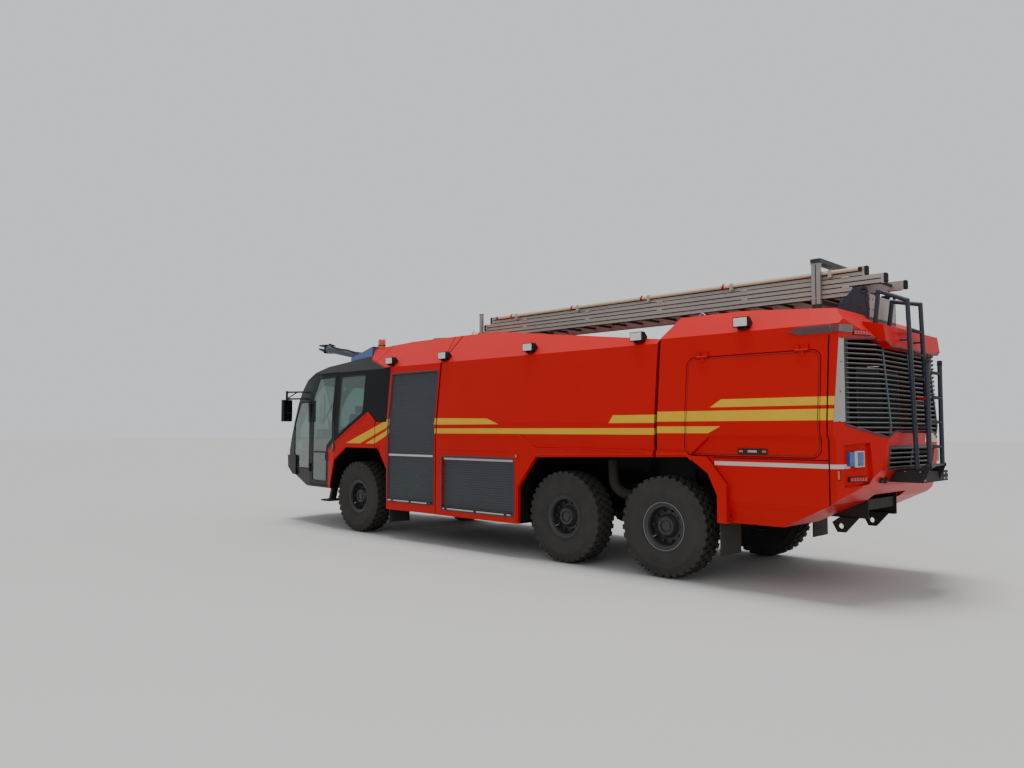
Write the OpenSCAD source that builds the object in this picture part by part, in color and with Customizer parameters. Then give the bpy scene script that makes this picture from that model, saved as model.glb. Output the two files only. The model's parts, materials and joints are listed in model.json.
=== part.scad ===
// Airport fire truck, six wheels on three axles, in millimetres.
// X points forward, Y to the left and Z up. The origin is on the ground, under the middle
// of the vehicle's full length. Inside the modules X is counted from the rear axle.

/* [Chassis] */
// Distance from the rear axle to the front axle
wheelbase = 6440; // [6300:10:6700]
// Distance between the two rear axles
bogie_spread = 1608; // [1560:4:1650]
// Distance between the middles of the left and right tyres
track_w = 2465; // [2440:5:2480]
// Width over the two frame rails
frame_w = 880; // [820:10:920]
// Height of a frame rail
rail_h = 280; // [240:10:300]
// Width of a frame rail's flange
rail_flange = 80; // [60:5:100]
// Thickness of a frame rail's steel
rail_t = 12; // [8:1:16]
// Height of the underside of the rails
rail_z = 800; // [780:5:820]
// Half the distance between the kingpins
kingpin_y = 1050; // [1040:5:1055]
// Radius of a kingpin
kingpin_r = 30; // [24:1:34]

/* [Wheels] */
// Outer diameter of a tyre, over the lugs
tyre_d = 1240; // [1200:5:1260]
// Width of a tyre over its side walls
tyre_w = 375; // [350:5:385]
// Width of the tread
tread_w = 310; // [280:5:320]
// Depth of the tread blocks
lug_h = 24; // [15:1:30]
// Number of tread blocks on each shoulder
lug_count = 12; // [11:1:14]
// Radius at which the tyre sits on the rim
bead_r = 262; // [255:1:270]
// Width of the rim between its flanges
rim_w = 250; // [240:2:270]

/* [Body] */
// Width of the body at the waist
body_w = 3000; // [2960:10:3040]
// Height at which the sides start to lean inwards
waist_z = 1900; // [1850:10:1950]
// How far the roof crease stands inside the waist, on each side
crease_in = 100; // [75:5:115]
// Height of the roof crease on the main body
crease_z = 2870; // [2850:5:2890]
// Height of the roof of the main body
roof_z = 3345; // [3320:5:3370]
// Height of the sill
sill_z = 470; // [440:5:500]
// Thickness of the walls, doors and flaps
wall = 60; // [50:1:70]
// Gap round a door or a flap
shut_gap = 8; // [6:1:12]
// Width of the dark joint between main body and engine module
module_gap = 40; // [30:1:50]
// How far the lower trim stands proud of the side
trim_out = 22; // [10:1:30]
// Depth at which a roller shutter sits behind the side
shutter_in = 14; // [8:1:20]
// Thickness of a roller shutter
shutter_t = 26; // [20:1:32]
// Height of one shutter slat
slat_h = 64; // [50:1:80]

/* [Cab] */
// Sweep of each half of the nose, in degrees
nose_sweep = 16; // [14:0.5:18]
// Height of the top of the cab floor
cab_floor_z = 1140; // [1120:5:1160]
// Height of the cab roof
cab_roof_z = 3130; // [3110:5:3150]
// Thickness of the window glass
glass_t = 14; // [8:1:20]
// Depth at which the glass sits behind the outer face
glass_in = 4; // [2:1:8]

/* [Engine module] */
// Height of the roof crease on the engine module
module_crease_z = 2920; // [2900:5:2930]
// Height of the roof of the engine module
module_roof_z = 3200; // [3190:5:3230]
// Spacing of the grille slats
grille_pitch = 52; // [48:1:60]
// Height of one grille slat
grille_slat_h = 22; // [16:1:30]
// Depth of the lower side behind the upper side
side_step = 35; // [20:5:40]
// Length of the engine block
engine_len = 1500; // [1300:10:1600]
// Width of the engine block
engine_w = 860; // [780:10:870]
// Height of the engine block
engine_h = 950; // [800:10:1000]

/* [Roof equipment] */
// Outer width of the lowest ladder section
ladder_w = 700; // [660:5:740]
// Height of a ladder section's side rail
ladder_rail_h = 108; // [95:1:115]
// Thickness of a ladder section's side rail
ladder_rail_t = 32; // [24:1:40]
// Distance between two rungs
rung_pitch = 300; // [260:5:340]
// Radius of a rung
rung_r = 16; // [12:1:20]
// Length of the turret barrel ahead of its pivot
barrel_len = 2310; // [2200:10:2350]
// Radius of the turret barrel
barrel_r = 62; // [50:1:70]
// Upward tilt of the barrel at rest, in degrees
barrel_tilt = 10.8; // [8:0.1:14]
// Distance between the rails of the rear access ladder
access_w = 420; // [400:5:460]
// Radius of the tubes of the access ladder
access_r = 25; // [20:1:28]
// Radius of the rungs of the access ladder
access_rung_r = 14; // [12:1:18]
// Length of the folding lower part of the access ladder
fold_len = 1150; // [1080:10:1180]

/* [Hidden] */
$fn = 48;

// Clearance between pieces that sit on each other
seat = 0.3;
// Clearance between a pane and its frame
pane_gap = 0.5;
red = [0.75, 0.06, 0.05];
black = [0.07, 0.08, 0.08];
steel = [0.3, 0.31, 0.32];
alloy = [0.72, 0.73, 0.74];

tyre_r = tyre_d / 2;
body_half = body_w / 2;
crease_half = body_half - crease_in;
wheel_y = track_w / 2;
cab_half = body_half - 40;
cab_crease_half = crease_half - 25;
rail_top = rail_z + rail_h;
rail_y = frame_w / 2;
deck_z = rail_top + seat;
big = 12000;

// Side panels are cut out and filled outside this distance from the middle
side_y0 = body_half - 600;

// Stations along the vehicle, counted from the rear axle
module_front_x = 10;
body_rear_x = module_front_x + module_gap;
pillar_x = wheelbase - 980;
cab_rear_x = pillar_x + 45;
nose_x = wheelbase + 3160;
b_pillar_x = wheelbase + 680;
a_pillar_x = wheelbase + 1710;
rail_rear_x = -2100;
rail_front_x = nose_x - 850;
turret_x = wheelbase + 1260;
prong_z = 55;
fold_x = -2745;
fold_ear_r = 30;
tip_x = turret_x + barrel_len * cos(barrel_tilt) + prong_z * sin(barrel_tilt);
rear_axle_x = -(tip_x + fold_x - fold_ear_r) / 2;

// Unit vector along v.
function unit(v) = v / norm(v);

// Moves each side of a counter-clockwise outline inwards by t.
function inset(p, t) = [for (i = [0 : len(p) - 1])
    let (a = p[(i + len(p) - 1) % len(p)], b = p[i], c = p[(i + 1) % len(p)],
        u = unit(b - a), v = unit(c - b), m = [-u.y, u.x], n = [-v.y, v.x])
    b + t * (m + n) / (1 + m * n)];

// Places what is counted from the rear axle into the vehicle's frame.
module from_rear_axle() translate([rear_axle_x, 0, 0]) children();

// Extrudes an X-Z outline across the width, from y0 to y1.
module across(points, y0, y1)
    translate([0, y1, 0]) rotate([90, 0, 0]) linear_extrude(y1 - y0) polygon(points);

// Extrudes a Y-Z outline along the length, from x0 to x1.
module along(points, x0, x1)
    translate([x0, 0, 0]) rotate([90, 0, 90]) linear_extrude(x1 - x0) polygon(points);

// A plain block between two corners.
module block(low, high) translate(low) cube(high - low);

// Draws its children on both sides of the vehicle.
module both_sides() {
    children();
    mirror([0, 1, 0]) children();
}

// A round bar between two points.
module bar(a, b, r) {
    d = b - a;
    translate(a)
        rotate([0, acos(d.z / norm(d)), atan2(d.y, d.x)])
            cylinder(r = r, h = norm(d));
}

// A rectangle with round corners, given by its low and high corners.
module round_rect(low, high, r) {
    translate([low.x + r, low.y]) square([high.x - low.x - 2 * r, high.y - low.y]);
    translate([low.x, low.y + r]) square([high.x - low.x, high.y - low.y - 2 * r]);
    for (x = [low.x + r, high.x - r], y = [low.y + r, high.y - r])
        translate([x, y]) circle(r = r);
}

// Cross-section shared by the bodies: width, leaning side and 45 degree roof slope.
function body_section(crease, top, half, crease_y) = [
    [-half, sill_z], [half, sill_z], [half, waist_z], [crease_y, crease],
    [crease_y - (top - crease), top], [-crease_y + (top - crease), top],
    [-crease_y, crease], [-half, waist_z]];

// Side outline of the main body. Columns: x, z
body_side = [
    [body_rear_x, sill_z],
    [pillar_x, sill_z],
    [pillar_x + 45, roof_z],
    [wheelbase - 3040, roof_z],
    [2370, roof_z - 130],
    [1550, roof_z - 230],
    [body_rear_x, roof_z - 415]];

// Side outline of the engine module. Columns: x, z
module_side = [
    [-2120, 1020],
    [-1560, 740],
    [module_front_x, 740],
    [module_front_x, module_roof_z - 260],
    [module_front_x - 120, module_roof_z],
    [-1000, module_roof_z],
    [-2100, module_roof_z - 90],
    [-2400, 2790],
    [-2480, 1850],
    [-2420, 1370],
    [-2300, 1180]];

// Plan of the engine module. Columns: x, y
module_plan = [
    [-2564, -550],
    [-2167, -body_half],
    [2000, -body_half],
    [2000, body_half],
    [-2167, body_half],
    [-2564, 550]];

// Side outline of the cab on its centre line, square to one half of the nose. Columns: x, z
cab_side = [
    [cab_rear_x - 2500, 740],
    [nose_x - 874, 710],
    [nose_x - 278, 900],
    [nose_x + 30, 1070],
    [nose_x + 58, 1380],
    [nose_x - 18, 1590],
    [nose_x - 182, 1950],
    [nose_x - 384, 2320],
    [nose_x - 585, 2570],
    [nose_x - 845, 2770],
    [nose_x - 1508, 3000],
    [nose_x - 2600, cab_roof_z],
    [cab_rear_x - 2500, cab_roof_z]];

// How far the cab's side has drawn in at the third point of its plan
cab_taper = 160;

// Half plan of the cab, from the rear to the nose. Columns: x, y
cab_half_plan = [
    [cab_rear_x, cab_half],
    [b_pillar_x, cab_half],
    [nose_x - 1400, cab_half - cab_taper],
    [nose_x - 400, cab_half - 360],
    [nose_x + 300, cab_half - 510]];

cab_plan = concat(
    [for (q = cab_half_plan) [q.x, -q.y]],
    [for (i = [1 : len(cab_half_plan)]) cab_half_plan[len(cab_half_plan) - i]]);

// Height of the front wheel arch
front_arch_z = 1480;

// Opening over the front wheel. Columns: x, z
front_arch = [
    [pillar_x - 10, 200],
    [wheelbase + 780, 200],
    [wheelbase + 780, 750],
    [wheelbase + 630, 1250],
    [wheelbase + 260, front_arch_z],
    [wheelbase - 690, front_arch_z],
    [pillar_x - 10, 1050]];

// Opening over both rear wheels. Columns: x, z
rear_arch = [
    [-820, 200],
    [bogie_spread + 752, 200],
    [bogie_spread + 732, 990],
    [bogie_spread + 402, 1420],
    [-440, 1480],
    [-700, 1300],
    [-820, 1050]];

// Slanting panel over the front wheel. Columns: x, z
fender_panel = [
    [pillar_x + 55, 720],
    [wheelbase + 890, 720],
    [wheelbase + 900, 1440],
    [wheelbase - 350, 2110],
    [wheelbase - 610, 1930],
    [pillar_x + 55, 1930]];

// Cab door. Columns: x, z
door_panel = [
    [wheelbase + 910, 760],
    [a_pillar_x, 760],
    [a_pillar_x, 2420],
    [a_pillar_x - 330, 2850],
    [b_pillar_x, 2870],
    [b_pillar_x, 1566],
    [wheelbase + 910, 1452]];

// Body shell forms, each drawn t inside its outer face.
module body_form(t) intersection() {
    along(inset(body_section(crease_z, roof_z, body_half, crease_half), t), -100, big);
    across(inset(body_side, t), -body_w, body_w);
}

// Cross-section of the engine module with its lower side set back, and drawn in at the sill.
module_step_section = let (h = body_half, low = body_half - side_step, r = [
    [low - 75, sill_z], [low - 75, 740], [low, 1000], [low, 1690], [h, 1745], [h, waist_z],
    [crease_half, module_crease_z], [crease_half - (module_roof_z - module_crease_z), module_roof_z]])
    concat([for (q = r) [-q.x, q.y]], [for (i = [1 : len(r)]) r[len(r) - i]]);

// Part of the side that is set back. Columns: x, z
step_outline = [[-3000, 600], [-450, 600], [-450, 1500], [-740, 1750], [-3000, 1750]];

module side_cut() difference() {
    left_prism_from(step_outline, body_half - 200);
    along(module_step_section, -3100, 1000);
}

module module_form(t) intersection() {
    along(inset(body_section(module_crease_z, module_roof_z, body_half, crease_half), t),
        -3000, 1000);
    across(inset(module_side, t), -body_w, body_w);
    translate([0, 0, sill_z]) linear_extrude(roof_z) polygon(inset(module_plan, t));
}

// The cab's sides and roof alone.
module cab_side_form(t) intersection() {
    along(inset(body_section(crease_z - 10, cab_roof_z, cab_half, cab_crease_half), t),
        cab_rear_x - 500, nose_x + 900);
    linear_extrude(big) polygon(inset(cab_plan, t));
}

module cab_form(t) intersection() {
    cab_side_form(t);
    intersection_for (s = [-1, 1])
        translate([nose_x, 0, 0]) rotate(s * nose_sweep) translate([-nose_x, 0, 0])
            across(inset(cab_side, t), -body_w, body_w);
}

// Prism of a side outline, on the left side only.
module left_prism(points) across(points, side_y0, body_w);

// Runs a Y-Z outline through the left half of the nose.
module nose_prism(points) along(points, nose_x - 1200, nose_x + 600);

// Windscreen half. Columns: distance from the centre, z
screen_panel = [[60, 1640], [880, 1640], [940, 1800], [800, 2690], [60, 2690]];

// Low window under the windscreen. Columns: distance from the centre, z
low_screen_panel = [[60, 1400], [860, 1400], [860, 1560], [60, 1560]];

// Side pane behind the door. Columns: x, z
rear_pane = [
    [wheelbase - 180, 2110],
    [wheelbase + 560, 1712],
    [wheelbase + 560, 2760],
    [wheelbase - 180, 2760]];

// Side pane ahead of the door. Columns: x, z
front_pane = [
    [a_pillar_x + 90, 1060],
    [nose_x - 560, 1060],
    [nose_x - 560, 1900],
    [nose_x - 850, 2320],
    [a_pillar_x + 90, 2330]];

door_window = [
    [wheelbase + 1000, 850],
    [a_pillar_x - 90, 850],
    [a_pillar_x - 90, 2390],
    [a_pillar_x - 370, 2750],
    [b_pillar_x + 90, 2770],
    [b_pillar_x + 90, 1640],
    [wheelbase + 1000, 1510]];

module frame_rails() color(steel) from_rear_axle() {
    rail = [[0, 0], [rail_flange, 0], [rail_flange, rail_t], [rail_t, rail_t],
        [rail_t, rail_h - rail_t], [rail_flange, rail_h - rail_t], [rail_flange, rail_h],
        [0, rail_h]];
    both_sides() translate([0, -rail_y, rail_z]) along(rail, rail_rear_x, rail_front_x);
    for (x = [rail_rear_x + 30, -600, bogie_spread / 2, 2900, 4300, pillar_x + 250, rail_front_x - 120])
        block([x, -rail_y + rail_t, rail_z + 90], [x + 90, rail_y - rail_t, rail_z + 210]);
    both_sides() tow_shackle();
}

// Rear towing eye: a plate under the rail with a round hole across it.
shackle_r = 32;
module tow_shackle() difference() {
    across([[-2000, rail_z], [-1780, rail_z], [-1700, 740], [-1760, 630], [-1850, 630]],
        rail_y, rail_y + 40);
    translate([-1800, rail_y - 10, 700]) rotate([-90, 0, 0]) cylinder(r = shackle_r, h = 60);
}

axle_r = 75;
drum_r = 150;
disc_in = 10;
hub_face = wheel_y + disc_in - seat;

// Driven axle beam with its differential, between two wheel hubs.
module driven_axle() translate([0, 0, tyre_r]) {
    rotate([-90, 0, 0]) translate([0, 0, -hub_face + 40]) cylinder(r = axle_r, h = 2 * hub_face - 80);
    sphere(r = 175);
    for (s = [-1, 1]) scale_side(s) rotate([-90, 0, 0]) {
        translate([0, 0, hub_face - 120]) cylinder(r = drum_r, h = 120);
    }
}

// Mirrors its children to the right side when s is -1.
module scale_side(s) mirror([0, s < 0 ? 1 : 0, 0]) children();

module bogie_axles() color(steel) from_rear_axle()
    for (x = [0, bogie_spread]) translate([x, 0, 0]) driven_axle();

ear_r = 58;
ear_in = 105;
ear_out = 145;

module axle_front() color(steel) from_rear_axle() translate([wheelbase, 0, tyre_r]) {
    rotate([-90, 0, 0]) translate([0, 0, -kingpin_y + 110]) cylinder(r = axle_r, h = 2 * kingpin_y - 220);
    sphere(r = 175);
    both_sides() {
        for (s = [-1, 1]) {
            translate([0, kingpin_y, s > 0 ? ear_in : -ear_out])
                cylinder(r = ear_r, h = ear_out - ear_in);
            block([-ear_r, kingpin_y - 130, s > 0 ? ear_in : -ear_out],
                [ear_r, kingpin_y, s > 0 ? ear_out : -ear_in]);
        }
        block([-ear_r, kingpin_y - 160, -ear_out], [ear_r, kingpin_y - 90, ear_out]);
        translate([0, kingpin_y, -ear_out]) cylinder(r = kingpin_r, h = 2 * ear_out);
    }
}

// Steering knuckle: bored sleeve on the kingpin, stub axle and brake drum.
module knuckle() translate([wheelbase, 0, tyre_r]) {
    pin_clearance = 0.05;
    difference() {
        union() {
            translate([0, kingpin_y, -ear_in + seat]) cylinder(r = ear_r - 2, h = 2 * (ear_in - seat));
            rotate([-90, 0, 0]) translate([0, 0, kingpin_y]) cylinder(r = 50, h = hub_face - kingpin_y);
        }
        translate([0, kingpin_y, -ear_out]) cylinder(r = kingpin_r + pin_clearance, h = 2 * ear_out);
    }
    rotate([-90, 0, 0]) translate([0, 0, hub_face - 110]) cylinder(r = drum_r, h = 110);
}

module knuckle_left() color(steel) from_rear_axle() knuckle();
module knuckle_right() color(steel) from_rear_axle() mirror([0, 1, 0]) knuckle();

// One leaf of a spring: a slice of a ring, hanging below its centre.
module leaf(length, ring_r, t) intersection() {
    difference() {
        circle(r = ring_r, $fn = 720);
        circle(r = ring_r - t, $fn = 720);
    }
    translate([-length / 2, -ring_r - t]) square([length, ring_r]);
}

leaf_t = 14;
leaf_w = 76;

// Front spring: leaves of falling length under each rail, ends held by hangers.
module front_spring() {
    ring_r = 6200;
    low = tyre_r + axle_r + seat;
    translate([wheelbase, rail_y + leaf_w - 40, low + ring_r]) rotate([90, 0, 0])
        linear_extrude(leaf_w)
            for (k = [0 : 3]) leaf(600 + 300 * k, ring_r - leaf_t * k + 0.01 * k, leaf_t);
}

// Radius and top of the rear pack, whose longest leaf rests on both axle tubes.
rear_ring_r = 5200;
rear_pack_top = tyre_r + rear_ring_r
    - sqrt(pow(rear_ring_r - leaf_t - axle_r - seat, 2) - pow(bogie_spread / 2, 2));

// Rear spring: a pack that rests on both rear axles and pivots on the frame between them.
module rear_spring() {
    translate([bogie_spread / 2, rail_y + leaf_w - 40, rear_pack_top - rear_ring_r]) rotate([90, 0, 0])
        linear_extrude(leaf_w) mirror([0, 1, 0])
            for (k = [0 : 2])
                leaf(1780 - 400 * (2 - k), rear_ring_r - leaf_t * (2 - k) + 0.01 * k, leaf_t);
}

module suspension() color(steel) from_rear_axle() both_sides() {
    front_spring();
    for (x = [wheelbase - 800, wheelbase + 740])
        block([x, rail_y - 30, tyre_r + axle_r + 48], [x + 60, rail_y + leaf_w - 40, rail_z - seat]);
    rear_spring();
    block([bogie_spread / 2 - 70, rail_y - 30, rear_pack_top + seat],
        [bogie_spread / 2 + 70, rail_y + leaf_w - 40, rail_z - seat]);
}

// Space under the cab floor and under the body for the rails and axles.
module rail_tunnel(x0, x1) block([x0, -rail_y - 60, 0], [x1, rail_y + 60, deck_z]);

// Hollow of the cab, with the floor left standing in it.
module cab_hollow() difference() {
    cab_form(wall);
    block([0, -body_w, deck_z], [big, body_w, cab_floor_z]);
}

module cab_shell() color(black) from_rear_axle() {
    cab_hinges();
    cab_body();
}

module cab_body() difference() {
    union() {
        difference() {
            cab_form(0);
            cab_hollow();
        }
        intersection() {
            cab_form(1);
            both_sides() across(inset(front_arch, -wall), rail_y + 60, body_w);
        }
    }
    both_sides() {
        arch(front_arch);
        left_prism(door_panel);
        left_prism(rear_pane);
        left_prism(front_pane);
        nose_prism(screen_panel);
        nose_prism(low_screen_panel);
        difference() {
            left_prism(inset(fender_panel, -seat));
            cab_side_form(wall);
        }
    }
    rail_tunnel(0, rail_front_x + 20);
}

module cab_hinges() both_sides()
    for (z = door_hinge_z) translate([door_hinge.x, door_hinge.y, z]) hinge_fixed();

// Wheel arch on the left: out from the inner wall, and right across under the deck.
module arch(points) {
    left_prism_from(points, rail_y + 60 + wall);
    intersection() {
        left_prism_from(points, rail_y);
        block([-big, 0, 0], [big, big, deck_z]);
    }
}

// Prism of a side outline on the left side, from y0 outwards.
module left_prism_from(points, y0) across(points, y0, body_w);

// Part of the cab's wall inside a side outline, between two depths.
module cab_band(points, t_out, t_in) difference() {
    intersection() {
        cab_form(t_out);
        left_prism(points);
    }
    cab_side_form(t_in);
}

module windscreen() color([0.2, 0.3, 0.3, 0.6]) from_rear_axle() both_sides()
    for (panel = [screen_panel, low_screen_panel]) difference() {
        intersection() {
            cab_form(glass_in);
            nose_prism(inset(panel, pane_gap));
        }
        cab_form(glass_in + glass_t);
    }

module side_glass() color([0.2, 0.3, 0.3, 0.6]) from_rear_axle() both_sides()
    for (pane = [rear_pane, front_pane])
        cab_band(inset(pane, pane_gap), glass_in, glass_in + glass_t);

// Barrel hinge along Z, drawn at its own axis. The fixed half has the pin and the two outer
// knuckles on a leaf towards +X, the moving half has the middle knuckle on a leaf towards -X.
hinge_r = 13;
hinge_pin_r = 6;
hinge_h = 50;
leaf_len = 62;

module hinge_fixed() {
    cylinder(r = hinge_pin_r, h = 3 * hinge_h);
    for (z = [0, 2 * hinge_h + seat]) translate([0, 0, z]) {
        cylinder(r = hinge_r, h = hinge_h - seat);
        translate([0, -hinge_r - 6, 0]) cube([leaf_len, hinge_r + 6, hinge_h - seat]);
    }
}

module hinge_moving() translate([0, 0, hinge_h]) difference() {
    union() {
        cylinder(r = hinge_r, h = hinge_h);
        translate([-leaf_len, -hinge_r - 6, 0]) cube([leaf_len, hinge_r + 6, hinge_h]);
    }
    translate([0, 0, -1]) cylinder(r = hinge_pin_r + 0.05, h = hinge_h + 2);
}

// Door hinges on the A-pillar. The axis stands just outside the door's front edge.
door_hinge_x = a_pillar_x - shut_gap / 2;
door_hinge_side = cab_half - cab_taper * (door_hinge_x - b_pillar_x) / (nose_x - 1400 - b_pillar_x);
door_hinge = [door_hinge_x, door_hinge_side + hinge_r + 2];
door_hinge_z = [1000, 2150];

module door() {
    difference() {
        cab_band(inset(door_panel, shut_gap), 0, wall);
        left_prism(door_window);
    }
    for (z = door_hinge_z) translate([door_hinge.x, door_hinge.y, z]) hinge_moving();
}

module door_glass() cab_band(inset(door_window, pane_gap), glass_in, glass_in + glass_t);

module door_left() color(black) from_rear_axle() door();
module door_right() color(black) from_rear_axle() mirror([0, 1, 0]) door();
module door_glass_left() color([0.2, 0.3, 0.3, 0.6]) from_rear_axle() door_glass();
module door_glass_right() color([0.2, 0.3, 0.3, 0.6]) from_rear_axle() mirror([0, 1, 0]) door_glass();

module front_fenders() color(red) from_rear_axle() both_sides() difference() {
    cab_band(fender_panel, -15, wall - seat);
    left_prism(front_arch);
    left_prism(inset(door_panel, -shut_gap));
}

// Raised lower trim round the low locker and over the rear wheels. Columns: x, z
main_trim = [
    [bogie_spread + 752, sill_z],
    [4150, sill_z],
    [4150, 1730],
    [bogie_spread + 742, 1730],
    [bogie_spread + 402, 1550],
    [body_rear_x, 1550],
    [body_rear_x, 1300],
    [bogie_spread + 402, 1300]];

module_trim = [
    [-940, 740],
    [-760, 740],
    [-400, 1300],
    [module_front_x, 1300],
    [module_front_x, 1550],
    [-640, 1530],
    [-940, 1160]];

// Roller shutters on each side. Columns: x low, z low, x high, z high
shutter_table = [
    [wheelbase - 2190, 630, wheelbase - 1020, 2730],
    [2450, 580, 4000, 1370]];

function shutter_outline(row) =
    [[row[0], row[1]], [row[2], row[1]], [row[2], row[3]], [row[0], row[3]]];

// Red roof over the back of the cab. Columns: x, y
roof_cap_plan = [
    [cab_rear_x - 60, -crease_half + 5],
    [cab_rear_x + 135, -crease_half + 5],
    [wheelbase - 120, -crease_half + 200],
    [wheelbase + 70, -crease_half + 400],
    [wheelbase + 70, crease_half - 400],
    [wheelbase - 120, crease_half - 200],
    [cab_rear_x + 135, crease_half - 5],
    [cab_rear_x - 60, crease_half - 5]];

module body_main() color(red) from_rear_axle() {
    difference() {
        union() {
            body_form(0);
            intersection() {
                body_form(-trim_out);
                both_sides() left_prism_from(main_trim, body_half - 200);
            }
            roof_cap();
        }
        both_sides() {
            arch(rear_arch);
            for (row = shutter_table) difference() {
                left_prism_from(shutter_outline(row), body_half - 300);
                body_form(shutter_in + shutter_t + seat);
            }
            difference() {
                block([wheelbase - 2275, 300, 0], [wheelbase - 2250, body_w, big]);
                body_form(wall);
            }
        }
        rail_tunnel(0, big);
    }
}

module roof_cap() difference() {
    intersection() {
        along(body_section(crease_z, roof_z, body_half, crease_half), cab_rear_x - 60, wheelbase + 100);
        across([[cab_rear_x - 60, crease_z], [wheelbase + 100, crease_z],
            [wheelbase + 100, roof_z - 65], [cab_rear_x - 60, roof_z]], -body_w, body_w);
        linear_extrude(big) polygon(roof_cap_plan);
    }
    cab_form(-seat);
    block([cab_rear_x - 100, -body_w, crease_z - 100], [cab_rear_x, body_w, crease_z]);
}

module shutters() color([0.25, 0.26, 0.27]) from_rear_axle() both_sides()
    for (row = shutter_table) difference() {
        intersection() {
            body_form(shutter_in);
            left_prism_from(inset(shutter_outline(row), pane_gap), body_half - 300);
        }
        body_form(shutter_in + shutter_t);
        difference() {
            for (z = [row[1] + slat_h : slat_h : row[3] - slat_h / 2])
                block([row[0] - 10, 300, z - 4], [row[2] + 10, body_w, z + 4]);
            body_form(shutter_in + 7);
        }
    }

// Lift-up engine flap on each side: low corner, high corner and corner radius
flap_low = [-2030, 1495];
flap_high = [-380, 2660];
flap_corner = 110;

module flap_prism(grow) translate([0, body_w, 0]) rotate([90, 0, 0])
    linear_extrude(body_w - side_y0)
        round_rect(flap_low - [grow, grow], flap_high + [grow, grow], flap_corner + grow);

// Hinges along the top edge of a flap. Column: x
flap_hinge_x = [-1890, -670];
flap_hinge_z = flap_high.y - shut_gap / 2;
flap_lean = (body_half - crease_half) / (module_crease_z - waist_z);
flap_hinge_y = body_half - (flap_hinge_z - waist_z) * flap_lean + hinge_r + 1;

// Turns a door hinge into a flap hinge: its axis along X, its fixed leaf upwards.
module on_flap_axis() for (x = flap_hinge_x)
    translate([x, flap_hinge_y, flap_hinge_z])
        multmatrix([[0, 0, 1, 0], [0, 1, 0, 0], [1, 0, 0, 0], [0, 0, 0, 1]]) children();

module flap() {
    difference() {
        intersection() {
            module_form(0);
            flap_prism(-shut_gap);
        }
        module_form(wall);
        side_cut();
    }
    on_flap_axis() hinge_moving();
}

module flap_left() color(red) from_rear_axle() flap();
module flap_right() color(red) from_rear_axle() mirror([0, 1, 0]) flap();

// Rear air outlet: it wraps round both chamfered corners.
grille_half = body_half - 170;

// Half outline of the air outlet, from the lower middle outwards. Columns: y, z
grille_half_outline = [[0, 1800], [600, 1800], [780, 1730], [grille_half, 1865], [grille_half, 2745],
    [930, 2770], [750, 2690], [0, 2690]];
grille_outline = concat(
    [for (q = grille_half_outline) q],
    [for (i = [2 : len(grille_half_outline) - 1])
        let (q = grille_half_outline[len(grille_half_outline) - i]) [-q.x, q.y]]);

// Lower air outlet. Columns: y, z
low_grille_outline = [[-700, 1375], [700, 1375], [700, 1610], [-700, 1610]];

module rear_prism(points) along(points, -2700, -2150);

// Recess for the rear corner lamps on the left. Columns: y, z
corner_recess = [[990, 1225], [1370, 1200], [1370, 1640], [1030, 1665]];
recess_in = 35;

module rear_module() color(red) from_rear_axle() {
    module_shell();
    both_sides() on_flap_axis() hinge_fixed();
}

// Raised hood over the middle of the air outlet. Columns: x, z
hood_outline = [[-2250, 2985], [-2470, 2930], [-2500, 2700], [-2250, 2700]];
hood_half = 880;
module hood(grow) across(inset(hood_outline, -grow), -hood_half - grow, hood_half + grow);

module module_shell() difference() {
    union() {
        difference() {
            module_form(0);
            both_sides() {
                side_cut();
                difference() {
                    rear_prism(corner_recess);
                    module_form(recess_in);
                }
            }
        }
        hood(0);
        intersection() {
            module_form(-trim_out);
            both_sides() left_prism_from(module_trim, body_half - 200);
        }
    }
    difference() {
        module_form(wall);
        both_sides() block([-900, rail_y, 0], [200, body_w, 1545]);
    }
    both_sides() {
        arch(rear_arch);
        flap_prism(0);
    }
    for (outline = [grille_outline, low_grille_outline]) rear_prism(outline);
    rail_tunnel(-3000, 200);
}

// Slats across an outlet, held by uprights. uprights lists their y.
module slats(outline, z0, z1, uprights) intersection() {
    rear_prism(inset(outline, pane_gap));
    union() {
        for (z = [z0 : grille_pitch : z1])
            block([-2700, -body_half, z], [-2150, body_half, z + grille_slat_h]);
        for (y = uprights) block([-2700, y - 22, 0], [-2150, y + 22, big]);
    }
}

module rear_grille() color(steel) from_rear_axle() difference() {
    intersection() {
        module_form(glass_in);
        union() {
            slats(grille_outline, 1760, 2740, [-grille_half + 22, -750, 0, 750, grille_half - 22]);
            slats(low_grille_outline, 1380, 1600, [-678, 0, 678]);
        }
    }
    module_form(wall - 10);
}

engine_x = -1800;
module engine_block() color(steel) from_rear_axle()
    block([engine_x, -engine_w / 2, deck_z], [engine_x + engine_len, engine_w / 2, deck_z + engine_h]);

// Cooler over the rear end of the rails, on two legs.
module radiator() color(black) from_rear_axle() {
    block([-2080, -650, deck_z + 320], [-1980, 650, deck_z + 1440]);
    both_sides() block([-2060, rail_y - rail_flange, deck_z], [-2000, rail_y, deck_z + 320]);
}

// Lamp strip that wraps round the rear corner under the roof crease. Columns: x, z
strip_outline = [[-1650, 2862], [-1760, 2828], [-2700, 2828], [-2700, 2905], [-1760, 2905]];

module tail_lamps() color([0.6, 0.05, 0.05]) from_rear_axle() both_sides() {
    difference() {
        intersection() {
            module_form(-12);
            union() {
                across(strip_outline, 1240, body_w);
                block([-2700, 1000, 2810], [-2150, 1225, 2850]);
            }
        }
        module_form(-seat);
    }
    difference() {
        intersection() {
            module_form(recess_in - 22);
            block([-2700, 1060, 1262], [-2150, 1280, 1302]);
        }
        module_form(recess_in - seat);
    }
}

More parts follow.
